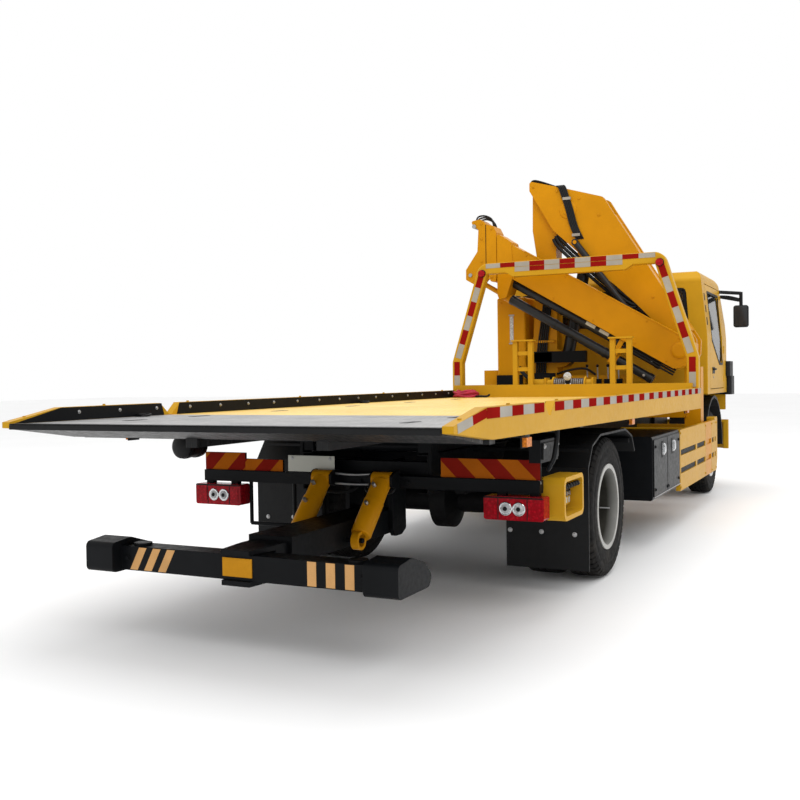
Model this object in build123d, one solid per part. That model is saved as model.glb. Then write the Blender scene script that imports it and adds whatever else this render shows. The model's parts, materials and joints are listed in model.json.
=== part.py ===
"""Flatbed tow truck with a folded knuckle boom crane and an underlift, in millimetres.

Stations run along +X from the rear axle, +Y is left and +Z is up from the ground.
Each named piece goes to its own STEP file, moved so that the middle of the truck's
length lies at X = 0.
"""
import math
import os

from build123d import *

# Overall sizes
BED_WIDTH = 2500
REAR_OVERHANG = 2800
WHEELBASE = 4950
FRONT_OVERHANG = 1100
HALF = BED_WIDTH / 2
TAIL = -REAR_OVERHANG
NOSE = WHEELBASE + FRONT_OVERHANG
MIDDLE = (TAIL + NOSE) / 2

# Clearances
PIN_GAP = 0.05
SLIDE_GAP = 0.5
SEAT_GAP = 0.3
PANEL_GAP = 8

# Wheels
TYRE_R = 460
TYRE_W = 230
BEAD_R = 263
FLANGE_H = 18
FLANGE_R = BEAD_R + FLANGE_H
RIM_T = 12
TRACK_OUTER = HALF - 205
TRACK_INNER = TRACK_OUTER - 280
TRACK_FRONT = HALF - 290
KINGPIN_Y = TRACK_FRONT - 160
KINGPIN_R = 30
SPINDLE_FRONT_R = 40
SPINDLE_REAR_R = 60
AXLE_Z = TYRE_R

# Chassis rails
RAIL_OUT = 425
RAIL_IN = 355
RAIL_T = 8
RAIL_BOTTOM = 650
RAIL_TOP = 880
RAIL_REAR = -1250
RAIL_FRONT = NOSE - 230

# Cab, measured from the front axle
CAB_BACK = WHEELBASE - 650
CAB_NOSE = NOSE - 90
CAB_HALF = HALF - 110
CAB_FLOOR = 1110
CAB_CHIN = 900
CAB_ROOF = 2430
CAB_WALL = 45
ROOF_SEAM = 2300
FLOOR_SEAM = 1160
DOOR_BACK = CAB_BACK + 180
DOOR_FRONT = WHEELBASE + 520
GLASS_INSET = 14
GLASS_T = 6
CAB_PIVOT = (NOSE - 200, 950)
CAB_PIVOT_R = 40
CAB_SEATS_X = (CAB_BACK + 60, CAB_NOSE - 340)
DOOR_HINGES = (1240, 1560)

# Bed and its tilting subframe
BED_FRONT = CAB_BACK - 1140
DECK_TOP = 1120
DECK_T = 14
CURB_TOP = 1195
CURB_W = 50
RAIL_SPLIT = -1550
SILL_BOTTOM = 985.5
SUB_BOTTOM = 890
SUB_TOP = SILL_BOTTOM - SLIDE_GAP
SUB_REAR = RAIL_REAR + 10
SUB_FRONT = BED_FRONT - 160
BED_PIVOT = (RAIL_REAR + 50, 925)
BED_PIN_R = 30
TILT_LOW = (600, 640)
TILT_HIGH = (1500, 930)
TILT_Y = 220
# Room ahead of the rod's eye, which moves forward of its seat halfway through the tilt
TILT_REACH = 80
TILT_ROD_R = 28
TILT_BARREL = 640

# Underlift
LIFT_PIVOT = (RAIL_REAR + 150, 470)
LIFT_TOP = (RAIL_REAR - 135, 745)
LIFT_PIN = (RAIL_REAR - 440, 440)
LIFT_Y = 200
LIFT_ROD_R = 26
LIFT_BARREL = 272
LIFT_STROKE = 100
ARM_HALF = 130
ARM_BOTTOM = 400
ARM_TOP = 540
ARM_WALL = 24
ARM_END = RAIL_REAR - 1000
SWIVEL = RAIL_REAR - 1220
SWIVEL_R = 28
BAR_BOTTOM = 367
BAR_TOP = 490
BAR_HALF = 720
SOCKET_Y = 630
SOCKET_R = 25

# Crane, all points as (y, z)
CRANE_S = CAB_BACK - 450
OUTER_S = CAB_BACK - 830
BOOM_A = (180, 3080)
BOOM_B = (-1020, 1560)
RAM_C = (250, 1500)
BOOM_PIN_R = 55
KNUCKLE_R = 50
COLUMN_W = 210
BOOM_W = 320
PLATE_T = 50
OUTER_W = 230
OUTER_D = 300
OUTER_WALL = 15
OUTER_SLOPE = 30.5
OUTER_LENGTH = 2060
RAM_ROD_R = 45
RAM_BARREL = 1010
FOLD_ROD_R = 22
BARREL_R = 46
EXT_ROD_R = 26
# Extension rams: offset below the outer boom, end of the barrel, end of the rod
EXT_RAMS = ((48, 2005, 2150), (212, 1910, 2230))
# Head plates of the outer boom and its extension, as (y, z)
HEAD_INNER = (
    (856, 2850), (784, 2800), (700, 2745), (672, 2420), (700, 2330), (760, 2160), (840, 2150), (856, 2200),
)
HEAD_MIDDLE = ((980, 2950), (900, 2930), (864, 2860), (864, 2424), (873, 2336), (922, 2339), (980, 2400))
HEAD_TIP = (
    (1160, 2994), (1045, 3009), (979, 2955), (979, 2440), (1054, 2365), (1112, 2315), (1215, 2374), (1214, 2481),
    (1080, 2668), (1066, 2898),
)
FOLD_BARREL = 1080

# Outriggers
LEG_Y = HALF - 170
LEG_R = 60
FOOT_R = 95
FOOT_Z = 400
OUT_BEAM = (900, 1090)
OUT_HALF_W = 100


def block(x0, x1, y0, y1, z0, z1):
    size = Box(x1 - x0, y1 - y0, z1 - z0)
    return Pos((x0 + x1) / 2, (y0 + y1) / 2, (z0 + z1) / 2) * size


def sheet(points, radius):
    if radius:
        return make_face(FilletPolyline(*points, radius=radius, close=True))
    return make_face(Polyline(*points, close=True))


def slab_y(points, y0, y1, radius=0):
    face = sheet([(x, y0, z) for x, z in points], radius)
    return extrude(face, amount=y1 - y0, dir=(0, 1, 0))


def slab_x(points, x0, x1, radius=0):
    face = sheet([(x0, y, z) for y, z in points], radius)
    return extrude(face, amount=x1 - x0, dir=(1, 0, 0))


def slab_z(points, z0, z1, radius=0):
    face = sheet([(x, y, z0) for x, y in points], radius)
    return extrude(face, amount=z1 - z0, dir=(0, 0, 1))


def rod(start, end, radius):
    begin = Vector(*start)
    run = Vector(*end) - begin
    return Part() + Solid.make_cylinder(radius, run.length, Plane(origin=begin, z_dir=run))


def pin_y(at, y0, y1, radius):
    return rod((at[0], y0, at[1]), (at[0], y1, at[1]), radius)


def pin_x(at, x0, x1, radius):
    return rod((x0, at[0], at[1]), (x1, at[0], at[1]), radius)


def fuse(*shapes):
    return Part() + list(shapes)


def twin(shape):
    return [shape, mirror(shape, about=Plane.XZ)]


def spin(points, centre_x, centre_y):
    """Turn a section of (y, radius) points about the wheel axis through a station."""
    line = Polyline(*[(0, y, r) for y, r in points], close=True)
    ring = revolve(make_face(line), axis=Axis.Y)
    return Pos(centre_x, centre_y, AXLE_Z) * ring


def ram_barrel(pin, end, across, sizes):
    """Barrel pinned at one end, bored for its rod. Sizes: length, radius, rod, pin, eye, width, dead."""
    length, radius, rod_r, pin_r, eye_r, width, dead = sizes
    start = Vector(*pin)
    way = (Vector(*end) - start).normalized()
    side = Vector(*across) * (width / 2)
    tube = rod(start + way * (pin_r + 6), start + way * length, radius)
    eye = rod(start - side, start + side, eye_r)
    bore = rod(start + way * dead, start + way * (length + 1), rod_r + SEAT_GAP)
    hole = rod(start - side * 2, start + side * 2, pin_r + PIN_GAP)
    return fuse(tube, eye) - [bore, hole]


def ram_rod(pin, end, across, sizes):
    """Rod that runs in such a barrel, with an eye. Sizes: rod, dead, hole, eye, width."""
    rod_r, dead, hole_r, eye_r, width = sizes
    start = Vector(*pin)
    stop = Vector(*end)
    way = (stop - start).normalized()
    side = Vector(*across) * (width / 2)
    shank = rod(start + way * (dead + 4), stop - way * (hole_r + 4), rod_r)
    eye = rod(stop - side, stop + side, eye_r)
    if hole_r == 0:
        return fuse(shank, eye)
    return fuse(shank, eye) - rod(stop - side * 2, stop + side * 2, hole_r)


def boom_point(along, inward):
    """Point (y, z) on the inner boom: distance from its pivot and offset to its inner side."""
    reach = math.hypot(BOOM_B[0] - BOOM_A[0], BOOM_B[1] - BOOM_A[1])
    dy = (BOOM_B[0] - BOOM_A[0]) / reach
    dz = (BOOM_B[1] - BOOM_A[1]) / reach
    return (BOOM_A[0] + along * dy - inward * dz, BOOM_A[1] + along * dz + inward * dy)


def outer_point(along, above):
    """Point (y, z) on the outer boom: distance from the knuckle and height above its axis."""
    c = math.cos(math.radians(OUTER_SLOPE))
    s = math.sin(math.radians(OUTER_SLOPE))
    return (BOOM_B[0] + along * c - above * s, BOOM_B[1] + along * s + above * c)


RAM_D = boom_point(450, 150)
FOLD_E = boom_point(330, 150)
FOLD_F = outer_point(60, -190)


# Chassis
def frame_rails():
    parts = []
    for side in (1, -1):
        web = sorted((side * RAIL_IN, side * RAIL_OUT))
        hollow = sorted((side * (RAIL_IN - 1), side * (RAIL_OUT - RAIL_T)))
        rail = block(RAIL_REAR, RAIL_FRONT, *web, RAIL_BOTTOM, RAIL_TOP)
        channel = block(
            RAIL_REAR - 1, RAIL_FRONT + 1, *hollow, RAIL_BOTTOM + RAIL_T, RAIL_TOP - RAIL_T
        )
        parts.append(rail - channel)
        pads = sorted((side * (RAIL_IN + 5), side * (RAIL_OUT - 5)))
        for station in (300, 1750, SUB_FRONT - 250):
            pad = block(station, station + 150, *pads, RAIL_TOP, SUB_BOTTOM - SEAT_GAP)
            parts.append(pad)
        for station in CAB_SEATS_X:
            parts.append(block(station, station + 90, *pads, RAIL_TOP, CAB_FLOOR - SEAT_GAP))
        ear = sorted((side * RAIL_OUT, side * (RAIL_OUT + 20)))
        x, z = BED_PIVOT
        plate = block(x - 48, x + 55, *ear, RAIL_BOTTOM + 50, z + 55)
        parts.append(plate - pin_y(BED_PIVOT, ear[0] - 1, ear[1] + 1, BED_PIN_R + PIN_GAP))
        cheek = sorted((side * (ARM_HALF + 2), side * (ARM_HALF + 30)))
        x, z = LIFT_PIVOT
        plate = slab_y(
            [(x - 90, 840), (x + 90, 840), (x + 90, z - 60), (x + 30, z - 90), (x - 60, z - 90), (x - 90, z - 40)],
            *cheek, radius=20,
        )
        parts.append(plate - pin_y(LIFT_PIVOT, cheek[0] - 1, cheek[1] + 1, 30 + PIN_GAP))
        x, z = TILT_LOW
        for off in (-65, 50):
            lug_y = sorted((side * (TILT_Y + off), side * (TILT_Y + off + 15)))
            lug = slab_y([(x - 130, 700), (x - 40, 700), (x + 36, z), (x, z - 36), (x - 130, 640)], *lug_y)
            parts.append(lug)
        parts.append(pin_y(TILT_LOW, *sorted((side * (TILT_Y - 65), side * (TILT_Y + 65))), 20))
    reach = RAIL_OUT - RAIL_T + 1
    for station in (RAIL_REAR + 20, -520, 470, 1760, BED_FRONT - 250, CAB_BACK - 150, RAIL_FRONT - 90):
        parts.append(block(station, station + 80, -reach, reach, 690, 835))
    return [fuse(*parts)]


def leaf_spring(x, y, seat, half_length, lift):
    top = RAIL_BOTTOM
    y0 = y - 35
    y1 = y + 35
    bow = [
        (x - half_length, seat + lift),
        (x - 110, seat),
        (x + 110, seat),
        (x + half_length, seat + lift),
        (x + half_length, seat + lift + 22),
        (x + 110, seat + 55),
        (x - 110, seat + 55),
        (x - half_length, seat + lift + 22),
    ]
    pieces = [slab_y(bow, y0, y1)]
    for end in (-1, 1):
        at = x + end * (half_length - 30)
        pieces.append(block(at - 30, at + 30, y0, y1, seat + lift - 10, top))
    return pieces


def front_axle():
    parts = [block(WHEELBASE - 45, WHEELBASE + 45, -KINGPIN_Y, KINGPIN_Y, 405, 500)]
    for side in (1, -1):
        boss = rod((WHEELBASE, side * KINGPIN_Y, 400), (WHEELBASE, side * KINGPIN_Y, 520), 52)
        parts.append(boss)
        parts += leaf_spring(WHEELBASE, side * 390, 500, 580, 90)
    bores = []
    for side in (1, -1):
        y = side * KINGPIN_Y
        bores.append(rod((WHEELBASE, y, 300), (WHEELBASE, y, 600), KINGPIN_R + PIN_GAP))
    return [fuse(*parts) - bores]


def rear_axle():
    end = TRACK_OUTER - 35
    parts = [rod((0, -end, AXLE_Z), (0, end, AXLE_Z), SPINDLE_REAR_R)]
    tube = TRACK_INNER - 150
    parts.append(rod((0, -tube, AXLE_Z), (0, tube, AXLE_Z), 85))
    parts.append(spin([(-150, 0), (-60, 195), (60, 195), (150, 0)], 0, 0))
    parts.append(rod((0, 0, AXLE_Z + 30), (300 - SEAT_GAP, 0, AXLE_Z + 30), 80))
    for side in (1, -1):
        parts += leaf_spring(0, side * 390, AXLE_Z + 80, 700, 60)
    return [fuse(*parts)]


def driveline():
    x = WHEELBASE
    parts = [block(x - 350, x + 520, -320, 320, 560, 1040)]
    parts.append(block(x - 620, x - 340, -180, 180, 440, 760))
    parts.append(rod((300, 0, AXLE_Z + 30), (x - 610, 0, AXLE_Z + 30), 48))
    for station in (x - 250, x + 350):
        parts.append(block(station, station + 70, -RAIL_OUT + RAIL_T, RAIL_OUT - RAIL_T, 720, 790))
    return [fuse(*parts)]


def fuel_tank():
    x0 = 1130
    x1 = BED_FRONT - 930
    tank = slab_x(
        [(HALF - 620, 385), (HALF - 60, 385), (HALF - 60, 845), (HALF - 620, 845)], x0, x1, radius=70
    )
    parts = [tank]
    for station in (x0 + 160, x1 - 220):
        parts.append(block(station, station + 60, RAIL_OUT, HALF - 600, 690, 800))
        parts.append(block(station, station + 60, HALF - 618, HALF - 56, 380, 850))
    return [fuse(*parts)]


def tool_box():
    x0 = 1130
    x1 = BED_FRONT - 930
    box = slab_x(
        [(-HALF + 40, 360), (-HALF + 600, 360), (-HALF + 600, 850), (-HALF + 40, 850)], x0, x1, radius=18
    )
    parts = [box, block(x0 + 25, x1 - 25, -HALF + 30, -HALF + 45, 385, 825)]
    for station in (x0 + 160, x1 - 220):
        parts.append(block(station, station + 60, -HALF + 599, -RAIL_OUT, 690, 800))
    return [fuse(*parts)]


SKIRT_OUT = HALF - 30
SKIRT_IN = HALF - 70
SKIRT_Z = (315, 845)
OUTRIG_X = (CRANE_S - 230, CRANE_S + 130)
BEAM_S = CRANE_S - 50


def skirt_panel(x0, x1):
    panel = block(x0, x1, SKIRT_IN, SKIRT_OUT, *SKIRT_Z)
    cuts = []
    for z in (463, 620):
        cuts.append(block(x0 + 30, x1 - 30, SKIRT_OUT - 14, SKIRT_OUT + 1, z, z + 50))
    return panel - cuts


def side_skirts():
    x0 = BED_FRONT - 930 + PANEL_GAP
    x1 = OUTRIG_X[0] - PANEL_GAP
    x2 = OUTRIG_X[1] + PANEL_GAP
    x3 = CAB_BACK
    rear = [skirt_panel(x0, x1)]
    for station in (x0 + 120, x1 - 220):
        rear.append(block(station, station + 60, RAIL_OUT, SKIRT_IN + 1, 740, 800))
    front = [skirt_panel(x2, x3)]
    front.append(block(x3 - 160, x3 - 100, RAIL_OUT, SKIRT_IN + 1, 740, 800))
    step = slab_y(
        [(x3 + 30, 300), (x3 + 150, 300), (x3 + 220, 420), (x3 + 220, 870), (x3 + 30, 870)],
        HALF - 130, HALF - 50, radius=20,
    )
    front.append(step)
    front.append(block(x3 - 20, x3 + 60, HALF - 110, HALF - 60, 480, 700))
    return twin(fuse(*rear)) + twin(fuse(*front))


def front_bumper():
    wing = HALF - 110
    x0 = RAIL_FRONT
    plan = [(x0, -wing), (NOSE - 130, -wing), (NOSE, -wing + 190), (NOSE, wing - 190), (NOSE - 130, wing), (x0, wing)]
    radii = [10, 120, 160, 160, 120, 10]
    outer = slab_z(plan, 430, 775, radius=radii)
    inner = [(x - 55, y * (wing - 55) / wing) for x, y in plan]
    shell = outer - slab_z(inner, 400, 745, radius=radii)
    parts = [shell]
    for side in (1, -1):
        web = sorted((side * RAIL_IN, side * RAIL_OUT))
        parts.append(block(RAIL_FRONT, NOSE - 30, *web, RAIL_BOTTOM, 774))
    eye = (NOSE - 60, 620)
    boss = pin_x((-520, eye[1]), NOSE - 130, NOSE - 10, 70)
    hole = pin_x((-520, eye[1]), NOSE - 100, NOSE + 10, 28)
    parts.append(boss)
    return [fuse(*parts) - hole]


def fender_strip(points, thickness, y0, y1):
    """Bent sheet of even thickness that follows a line of (x, z) points."""
    outer = []
    for i, (x, z) in enumerate(points):
        xa, za = points[max(i - 1, 0)]
        xb, zb = points[min(i + 1, len(points) - 1)]
        length = math.hypot(xb - xa, zb - za)
        outer.append((x - (zb - za) / length * thickness, z + (xb - xa) / length * thickness))
    return slab_y(points + outer[::-1], y0, y1)


def fenders():
    y0 = TRACK_INNER - 125
    y1 = TRACK_OUTER + 150
    line = [(-620, 760), (-520, 890), (-330, 945), (330, 945), (520, 890), (600, 780)]
    rear = [fender_strip(line, 14, y0, y1)]
    rear.append(block(-628, -616, y0 + 30, y1, 145, 770))
    for station in (-560, 500):
        rear.append(block(station, station + 40, RAIL_OUT, y1 - 20, 850, 878))
    arch = []
    for step in range(11):
        angle = math.radians(180 - 18 * step)
        arch.append((WHEELBASE + 590 * math.cos(angle), AXLE_Z + 40 + 560 * math.sin(angle)))
    y0 = KINGPIN_Y - 90
    y1 = HALF - 140
    front = [fender_strip(arch, 28, y0, y1)]
    front.append(block(WHEELBASE - 40, WHEELBASE + 40, RAIL_OUT, RAIL_OUT + 30, 700, 1088))
    front.append(block(WHEELBASE - 40, WHEELBASE + 40, RAIL_OUT, y0 + 20, 1062, 1088))
    return twin(fuse(*rear)) + twin(fuse(*front))


def lamp_bar():
    x0 = RAIL_REAR - 75
    x1 = RAIL_REAR - 15
    wide = HALF - 130
    parts = [block(x0, x1, -wide, wide, 690, 760)]
    for side in (1, -1):
        web = sorted((side * RAIL_IN, side * RAIL_OUT))
        parts.append(block(x1 - 1, RAIL_REAR, *web, 690, 760))
        for y in (HALF - 380, HALF - 190):
            strap = sorted((side * y, side * (y + 50)))
            parts.append(block(x0 + 10, x1 - 10, *strap, 675, 691))
        x, z = LIFT_TOP
        for off in (-76, 60):
            lug_y = sorted((side * (LIFT_Y + off), side * (LIFT_Y + off + 16)))
            lug = slab_y([(x0 + 5, 692), (x0 + 5, 790), (x + 10, 790), (x - 38, z + 20), (x - 38, z - 38), (x + 20, z - 50)], *lug_y)
            parts.append(lug)
        parts.append(pin_y(LIFT_TOP, *sorted((side * (LIFT_Y - 76), side * (LIFT_Y + 76))), 22))
    for y in (HALF - 790, HALF - 470):
        parts.append(rod((x0 + 30, y, 430), (x0 + 30, y, 700), 12))
    parts.append(rod((x0 + 30, HALF - 790, 430), (x0 + 30, HALF - 470, 430), 12))
    return [fuse(*parts, *warning_boards())]


def warning_boards():
    x = RAIL_REAR - 60
    y1 = HALF - 130
    tall = block(x, x + 14, y1 - 310, y1, 760, 872)
    low = block(x, x + 14, y1 - 590, y1 - 309, 760, 835)
    return [fuse(tall, low), block(x, x + 14, -y1, -y1 + 590, 760, 872)]


def tail_lamps():
    lamp = block(RAIL_REAR - 120, RAIL_REAR - 20, HALF - 439, HALF - 95, 545, 675)
    lamp = fillet(lamp.edges().filter_by(Axis.X), 14)
    return twin(lamp)


def control_box():
    x0 = RAIL_REAR + 10
    x1 = RAIL_REAR + 390
    y = -HALF
    frame = slab_y([(x0, 530), (x1, 530), (x1, 770), (x0, 770)], y + 20, y + 150, radius=45)
    bay = slab_y([(x0 + 25, 555), (x1 - 25, 555), (x1 - 25, 745), (x0 + 25, 745)], y + 10, y + 135, radius=28)
    parts = [frame - bay]
    parts.append(block(x0 + 45, x1 - 45, y + 90, y + 136, 590, 690))
    for i in range(6):
        x = x0 + 65 + i * 50
        parts.append(rod((x, y + 100, 680), (x, y + 42, 712), 8))
    parts.append(block(x0 + 160, x0 + 220, y + 149, -RAIL_OUT, 690, 750))
    return [fuse(*parts)]


def crane_base():
    s0 = CRANE_S - 170
    s1 = CRANE_S + 190
    b0 = BEAM_S - OUT_HALF_W
    b1 = BEAM_S + OUT_HALF_W
    z0, z1 = OUT_BEAM
    end = HALF - 250
    tube = block(b0 - 10, b1 + 10, -end, end, z0 - 10, z1 + 10)
    cavity = block(b0 - SLIDE_GAP, b1 + SLIDE_GAP, -end - 1, end + 1, z0 - SLIDE_GAP, z1 + SLIDE_GAP)
    parts = [block(s0, s1, -RAIL_OUT - 5, RAIL_OUT + 5, RAIL_TOP, z0 - 9)]
    parts.append(tube)
    base = fuse(*parts) - cavity
    top = [block(b1 + 9, s1, -RAIL_OUT, RAIL_OUT, z0 - 10, z1 + 10)]
    top.append(block(s0 + 10, s1 - 10, 230, 660, z1 + 10, 1240))
    top.append(rod((CRANE_S, 450, 1239), (CRANE_S, 450, 1300), 165))
    top.append(block(s0 + 30, s1 - 60, 690, 940, z1 + 10, 1235))
    top.append(block(s0 + 20, s1 - 40, -420, 180, z1 + 10, 1330))
    return [fuse(base, *top)]


def oil_tank():
    tank = block(CRANE_S - 195, CRANE_S + 190, 655, 980, 1235, 2185)
    return [fillet(tank.edges(), 22)]


def crane_column():
    half = COLUMN_W / 2
    outline = [
        (330, 1300), (620, 1300), (545, 2600), (590, 2900), (584, 3385), (480, 3385), (330, 3230), (140, 3200),
        (60, 3080), (100, 2960), (330, 2700),
    ]
    body = slab_x(outline, CRANE_S - half, CRANE_S + half, radius=[20, 20, 120, 90, 30, 40, 60, 60, 70, 70, 90])
    lugs = []
    y, z = RAM_C
    for s in (CRANE_S - half, CRANE_S + half - 35):
        lugs.append(slab_x([(340, z - 90), (340, z + 130), (y - 40, z + 45), (y - 60, z - 30), (y, z - 70)], s, s + 35, radius=18))
    pin = pin_x(RAM_C, CRANE_S - half, CRANE_S + half, 35)
    bore = pin_x(BOOM_A, CRANE_S - half - 1, CRANE_S + half + 1, BOOM_PIN_R + PIN_GAP)
    return [fuse(body, pin, *lugs) - bore]


def inner_boom():
    s0 = CRANE_S - BOOM_W / 2
    s1 = CRANE_S + BOOM_W / 2
    outline = [
        (604, 3425), (257, 3326), (-197, 3186), (-255, 3087), (-1128, 1672), (-1120, 1500), (-980, 1455),
        (-870, 1700), (-533, 2054), (351, 2885), (604, 3320),
    ]
    radii = [25, 60, 60, 60, 60, 50, 50, 60, 40, 60, 20]
    plates = [slab_x(outline, s0, s0 + PLATE_T, radius=radii), slab_x(outline, s1 - PLATE_T, s1, radius=radii)]
    top = [boom_point(330, -322), boom_point(1790, -165), boom_point(1790, -140), boom_point(330, -297)]
    web = [boom_point(760, 60), boom_point(760, 130), boom_point(1250, 60), boom_point(1640, 30), boom_point(1640, -10), boom_point(1250, 20)]
    end = [boom_point(1560, -170), boom_point(1560, 30), boom_point(1740, 20), boom_point(1740, -150)]
    inner = (s0 + PLATE_T - 1, s1 - PLATE_T + 1)
    parts = plates + [slab_x(shape, *inner) for shape in (top, web, end)]
    parts.append(pin_x(BOOM_A, s0 - 12, s1 + 12, BOOM_PIN_R))
    parts.append(pin_x(BOOM_B, OUTER_S - OUTER_W / 2 - 15, s1 + 10, KNUCKLE_R))
    half = COLUMN_W / 2 - 50
    parts.append(pin_x(RAM_D, s0, CRANE_S - half - SEAT_GAP, 62))
    parts.append(pin_x(RAM_D, CRANE_S + half + SEAT_GAP, s1, 62))
    parts.append(pin_x(FOLD_E, s0 - 70, s0 + 1, 20))
    return [fuse(*parts)]


def lift_cylinder():
    sizes = (RAM_BARREL, 66, RAM_ROD_R, 35, 62, COLUMN_W - 72, 110)
    return [ram_barrel((CRANE_S, *RAM_C), (CRANE_S, *RAM_D), (1, 0, 0), sizes)]


def lift_rod():
    sizes = (RAM_ROD_R, 110, 0, 58, COLUMN_W - 100)
    return [ram_rod((CRANE_S, *RAM_C), (CRANE_S, *RAM_D), (1, 0, 0), sizes)]


FOLD_S = CRANE_S - BOOM_W / 2 - 38


def fold_cylinder():
    sizes = (FOLD_BARREL, 34, FOLD_ROD_R, 20, 36, 44, 70)
    return [ram_barrel((FOLD_S, *FOLD_E), (FOLD_S, *FOLD_F), (1, 0, 0), sizes)]


def fold_rod():
    sizes = (FOLD_ROD_R, 70, 34, 52, 40)
    return [ram_rod((FOLD_S, *FOLD_E), (FOLD_S, *FOLD_F), (1, 0, 0), sizes)]


def outer_boom():
    s0 = OUTER_S - OUTER_W / 2
    s1 = OUTER_S + OUTER_W / 2
    d = OUTER_D / 2
    drop = -25
    box = [outer_point(-130, drop - 60), outer_point(-60, drop - d), outer_point(OUTER_LENGTH, drop - d),
           outer_point(OUTER_LENGTH, drop + d), outer_point(-90, drop + d), outer_point(-130, drop + 80)]
    body = slab_x(box, s0, s1)
    w = OUTER_WALL
    hollow = [outer_point(150, drop - d + w), outer_point(OUTER_LENGTH + 400, drop - d + w),
              outer_point(OUTER_LENGTH + 400, drop + d - w), outer_point(150, drop + d - w)]
    parts = [body]
    parts.append(slab_x(HEAD_INNER, s0 - 5, s1 + 5, radius=18))
    parts.append(slab_x([outer_point(520, drop - d - 270), outer_point(570, drop - d - 270),
                         outer_point(570, drop - d + 1), outer_point(520, drop - d + 1)], s0 + 20, s1 - 20))
    for off, end, tip in EXT_RAMS:
        a = outer_point(500, drop - d - off)
        b = outer_point(end, drop - d - off)
        parts.append(rod((OUTER_S, *a), (OUTER_S, *b), BARREL_R))
    crank = [outer_point(10, -150), outer_point(-5, -190), outer_point(60, -255), outer_point(140, -190),
             outer_point(140, -150)]
    parts.append(slab_x(crank, s1 - 40, s1, radius=15))
    parts.append(pin_x(FOLD_F, s1 - 20, s1 + 62, 14))
    cuts = [pin_x(BOOM_B, s0 - 10, s1 + 10, KNUCKLE_R + PIN_GAP)]
    cuts.append(slab_x(hollow, s0 + w, s1 - w))
    for off, end, tip in EXT_RAMS:
        a = outer_point(540, drop - d - off)
        b = outer_point(tip + 100, drop - d - off)
        cuts.append(rod((OUTER_S, *a), (OUTER_S, *b), EXT_ROD_R + SEAT_GAP))
    return [fuse(*parts) - cuts]


def boom_extension():
    d = OUTER_D / 2 - OUTER_WALL - SLIDE_GAP
    half = OUTER_W / 2 - OUTER_WALL - SLIDE_GAP
    drop = -25
    end = OUTER_LENGTH + 284
    box = [outer_point(200, drop - d), outer_point(end, drop - d), outer_point(end, drop + d), outer_point(200, drop + d)]
    hollow = [outer_point(190, drop - d + 14), outer_point(end + 1, drop - d + 14),
              outer_point(end + 1, drop + d - 14), outer_point(190, drop + d - 14)]
    body = slab_x(box, OUTER_S - half, OUTER_S + half) - slab_x(hollow, OUTER_S - half + 14, OUTER_S + half - 14)
    parts = [body]
    for outline in (HEAD_MIDDLE, HEAD_TIP):
        parts.append(slab_x(outline, OUTER_S - OUTER_W / 2, OUTER_S + OUTER_W / 2, radius=18))
    for off, stop, tip in EXT_RAMS:
        off = OUTER_D / 2 + off
        a = outer_point(560, drop - off)
        b = outer_point(tip, drop - off)
        parts.append(rod((OUTER_S, *a), (OUTER_S, *b), EXT_ROD_R))
    return [fuse(*parts)]


def outrigger_beam():
    b0 = BEAM_S - OUT_HALF_W
    b1 = BEAM_S + OUT_HALF_W
    parts = [block(b0, b1, 30, HALF - 250 + 20, *OUT_BEAM)]
    parts.append(block(BEAM_S - 80, BEAM_S + 80, HALF - 250, HALF - 90, 520, 1400))
    parts.append(skirt_panel(*OUTRIG_X))
    parts.append(block(BEAM_S - 60, BEAM_S + 60, HALF - 91, SKIRT_IN + 1, 560, 800))
    bore = rod((BEAM_S, LEG_Y, 500), (BEAM_S, LEG_Y, 1385), LEG_R + SEAT_GAP)
    return fuse(*parts) - bore


def outrigger_leg():
    leg = rod((BEAM_S, LEG_Y, FOOT_Z + 10), (BEAM_S, LEG_Y, 1375), LEG_R)
    foot = rod((BEAM_S, LEG_Y, FOOT_Z), (BEAM_S, LEG_Y, FOOT_Z + 35), FOOT_R)
    return fuse(leg, foot)


# Wheels
def tyre(x, y):
    w = TYRE_W / 2
    foot = FLANGE_R + 19
    outer = [(-w + 20, BEAD_R), (-w + 2, foot), (-w, 370), (-w + 5, 425), (-w + 27, TYRE_R)]
    inner = [(-w + 42, BEAD_R), (-w + 25, foot + 5), (-w + 22, 370), (-w + 27, 415), (-w + 45, TYRE_R - 24)]
    section = outer + [(-a, r) for a, r in reversed(outer)]
    section += [(-a, r) for a, r in inner] + list(reversed(inner))
    return spin(section, x, y)


def rim_barrel(x, y):
    w = TYRE_W / 2
    top = BEAD_R - SEAT_GAP
    low = top - RIM_T
    points = [(-w + 3, low), (w - 3, low), (w - 3, FLANGE_R), (w - 11, FLANGE_R), (w - 11, top), (-w + 11, top), (-w + 11, FLANGE_R), (-w + 3, FLANGE_R)]
    return spin(points, x, y)


def hand_holes(x, y, radius):
    cuts = []
    for i in range(8):
        angle = math.radians(45 * i + 22.5)
        px = x + radius * math.cos(angle)
        pz = AXLE_Z + radius * math.sin(angle)
        cuts.append(rod((px, y - 80, pz), (px, y + 80, pz), 24))
    return cuts


def front_rim(side):
    y = TRACK_FRONT
    low = BEAD_R - SEAT_GAP - RIM_T
    disc = spin([(20, low + 4), (45, 215), (50, 150), (50, 60), (66, 60), (66, 150), (62, 222), (38, low + 4)], WHEELBASE, y)
    hub = spin([(-52, SPINDLE_FRONT_R + PIN_GAP), (-52, 105), (60, 105), (100, 85), (112, 0), (52, 0), (52, SPINDLE_FRONT_R + PIN_GAP)], WHEELBASE, y)
    whole = fuse(rim_barrel(WHEELBASE, y), disc, hub) - hand_holes(WHEELBASE, y + 50, 190)
    return whole if side > 0 else mirror(whole, about=Plane.XZ)


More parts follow.
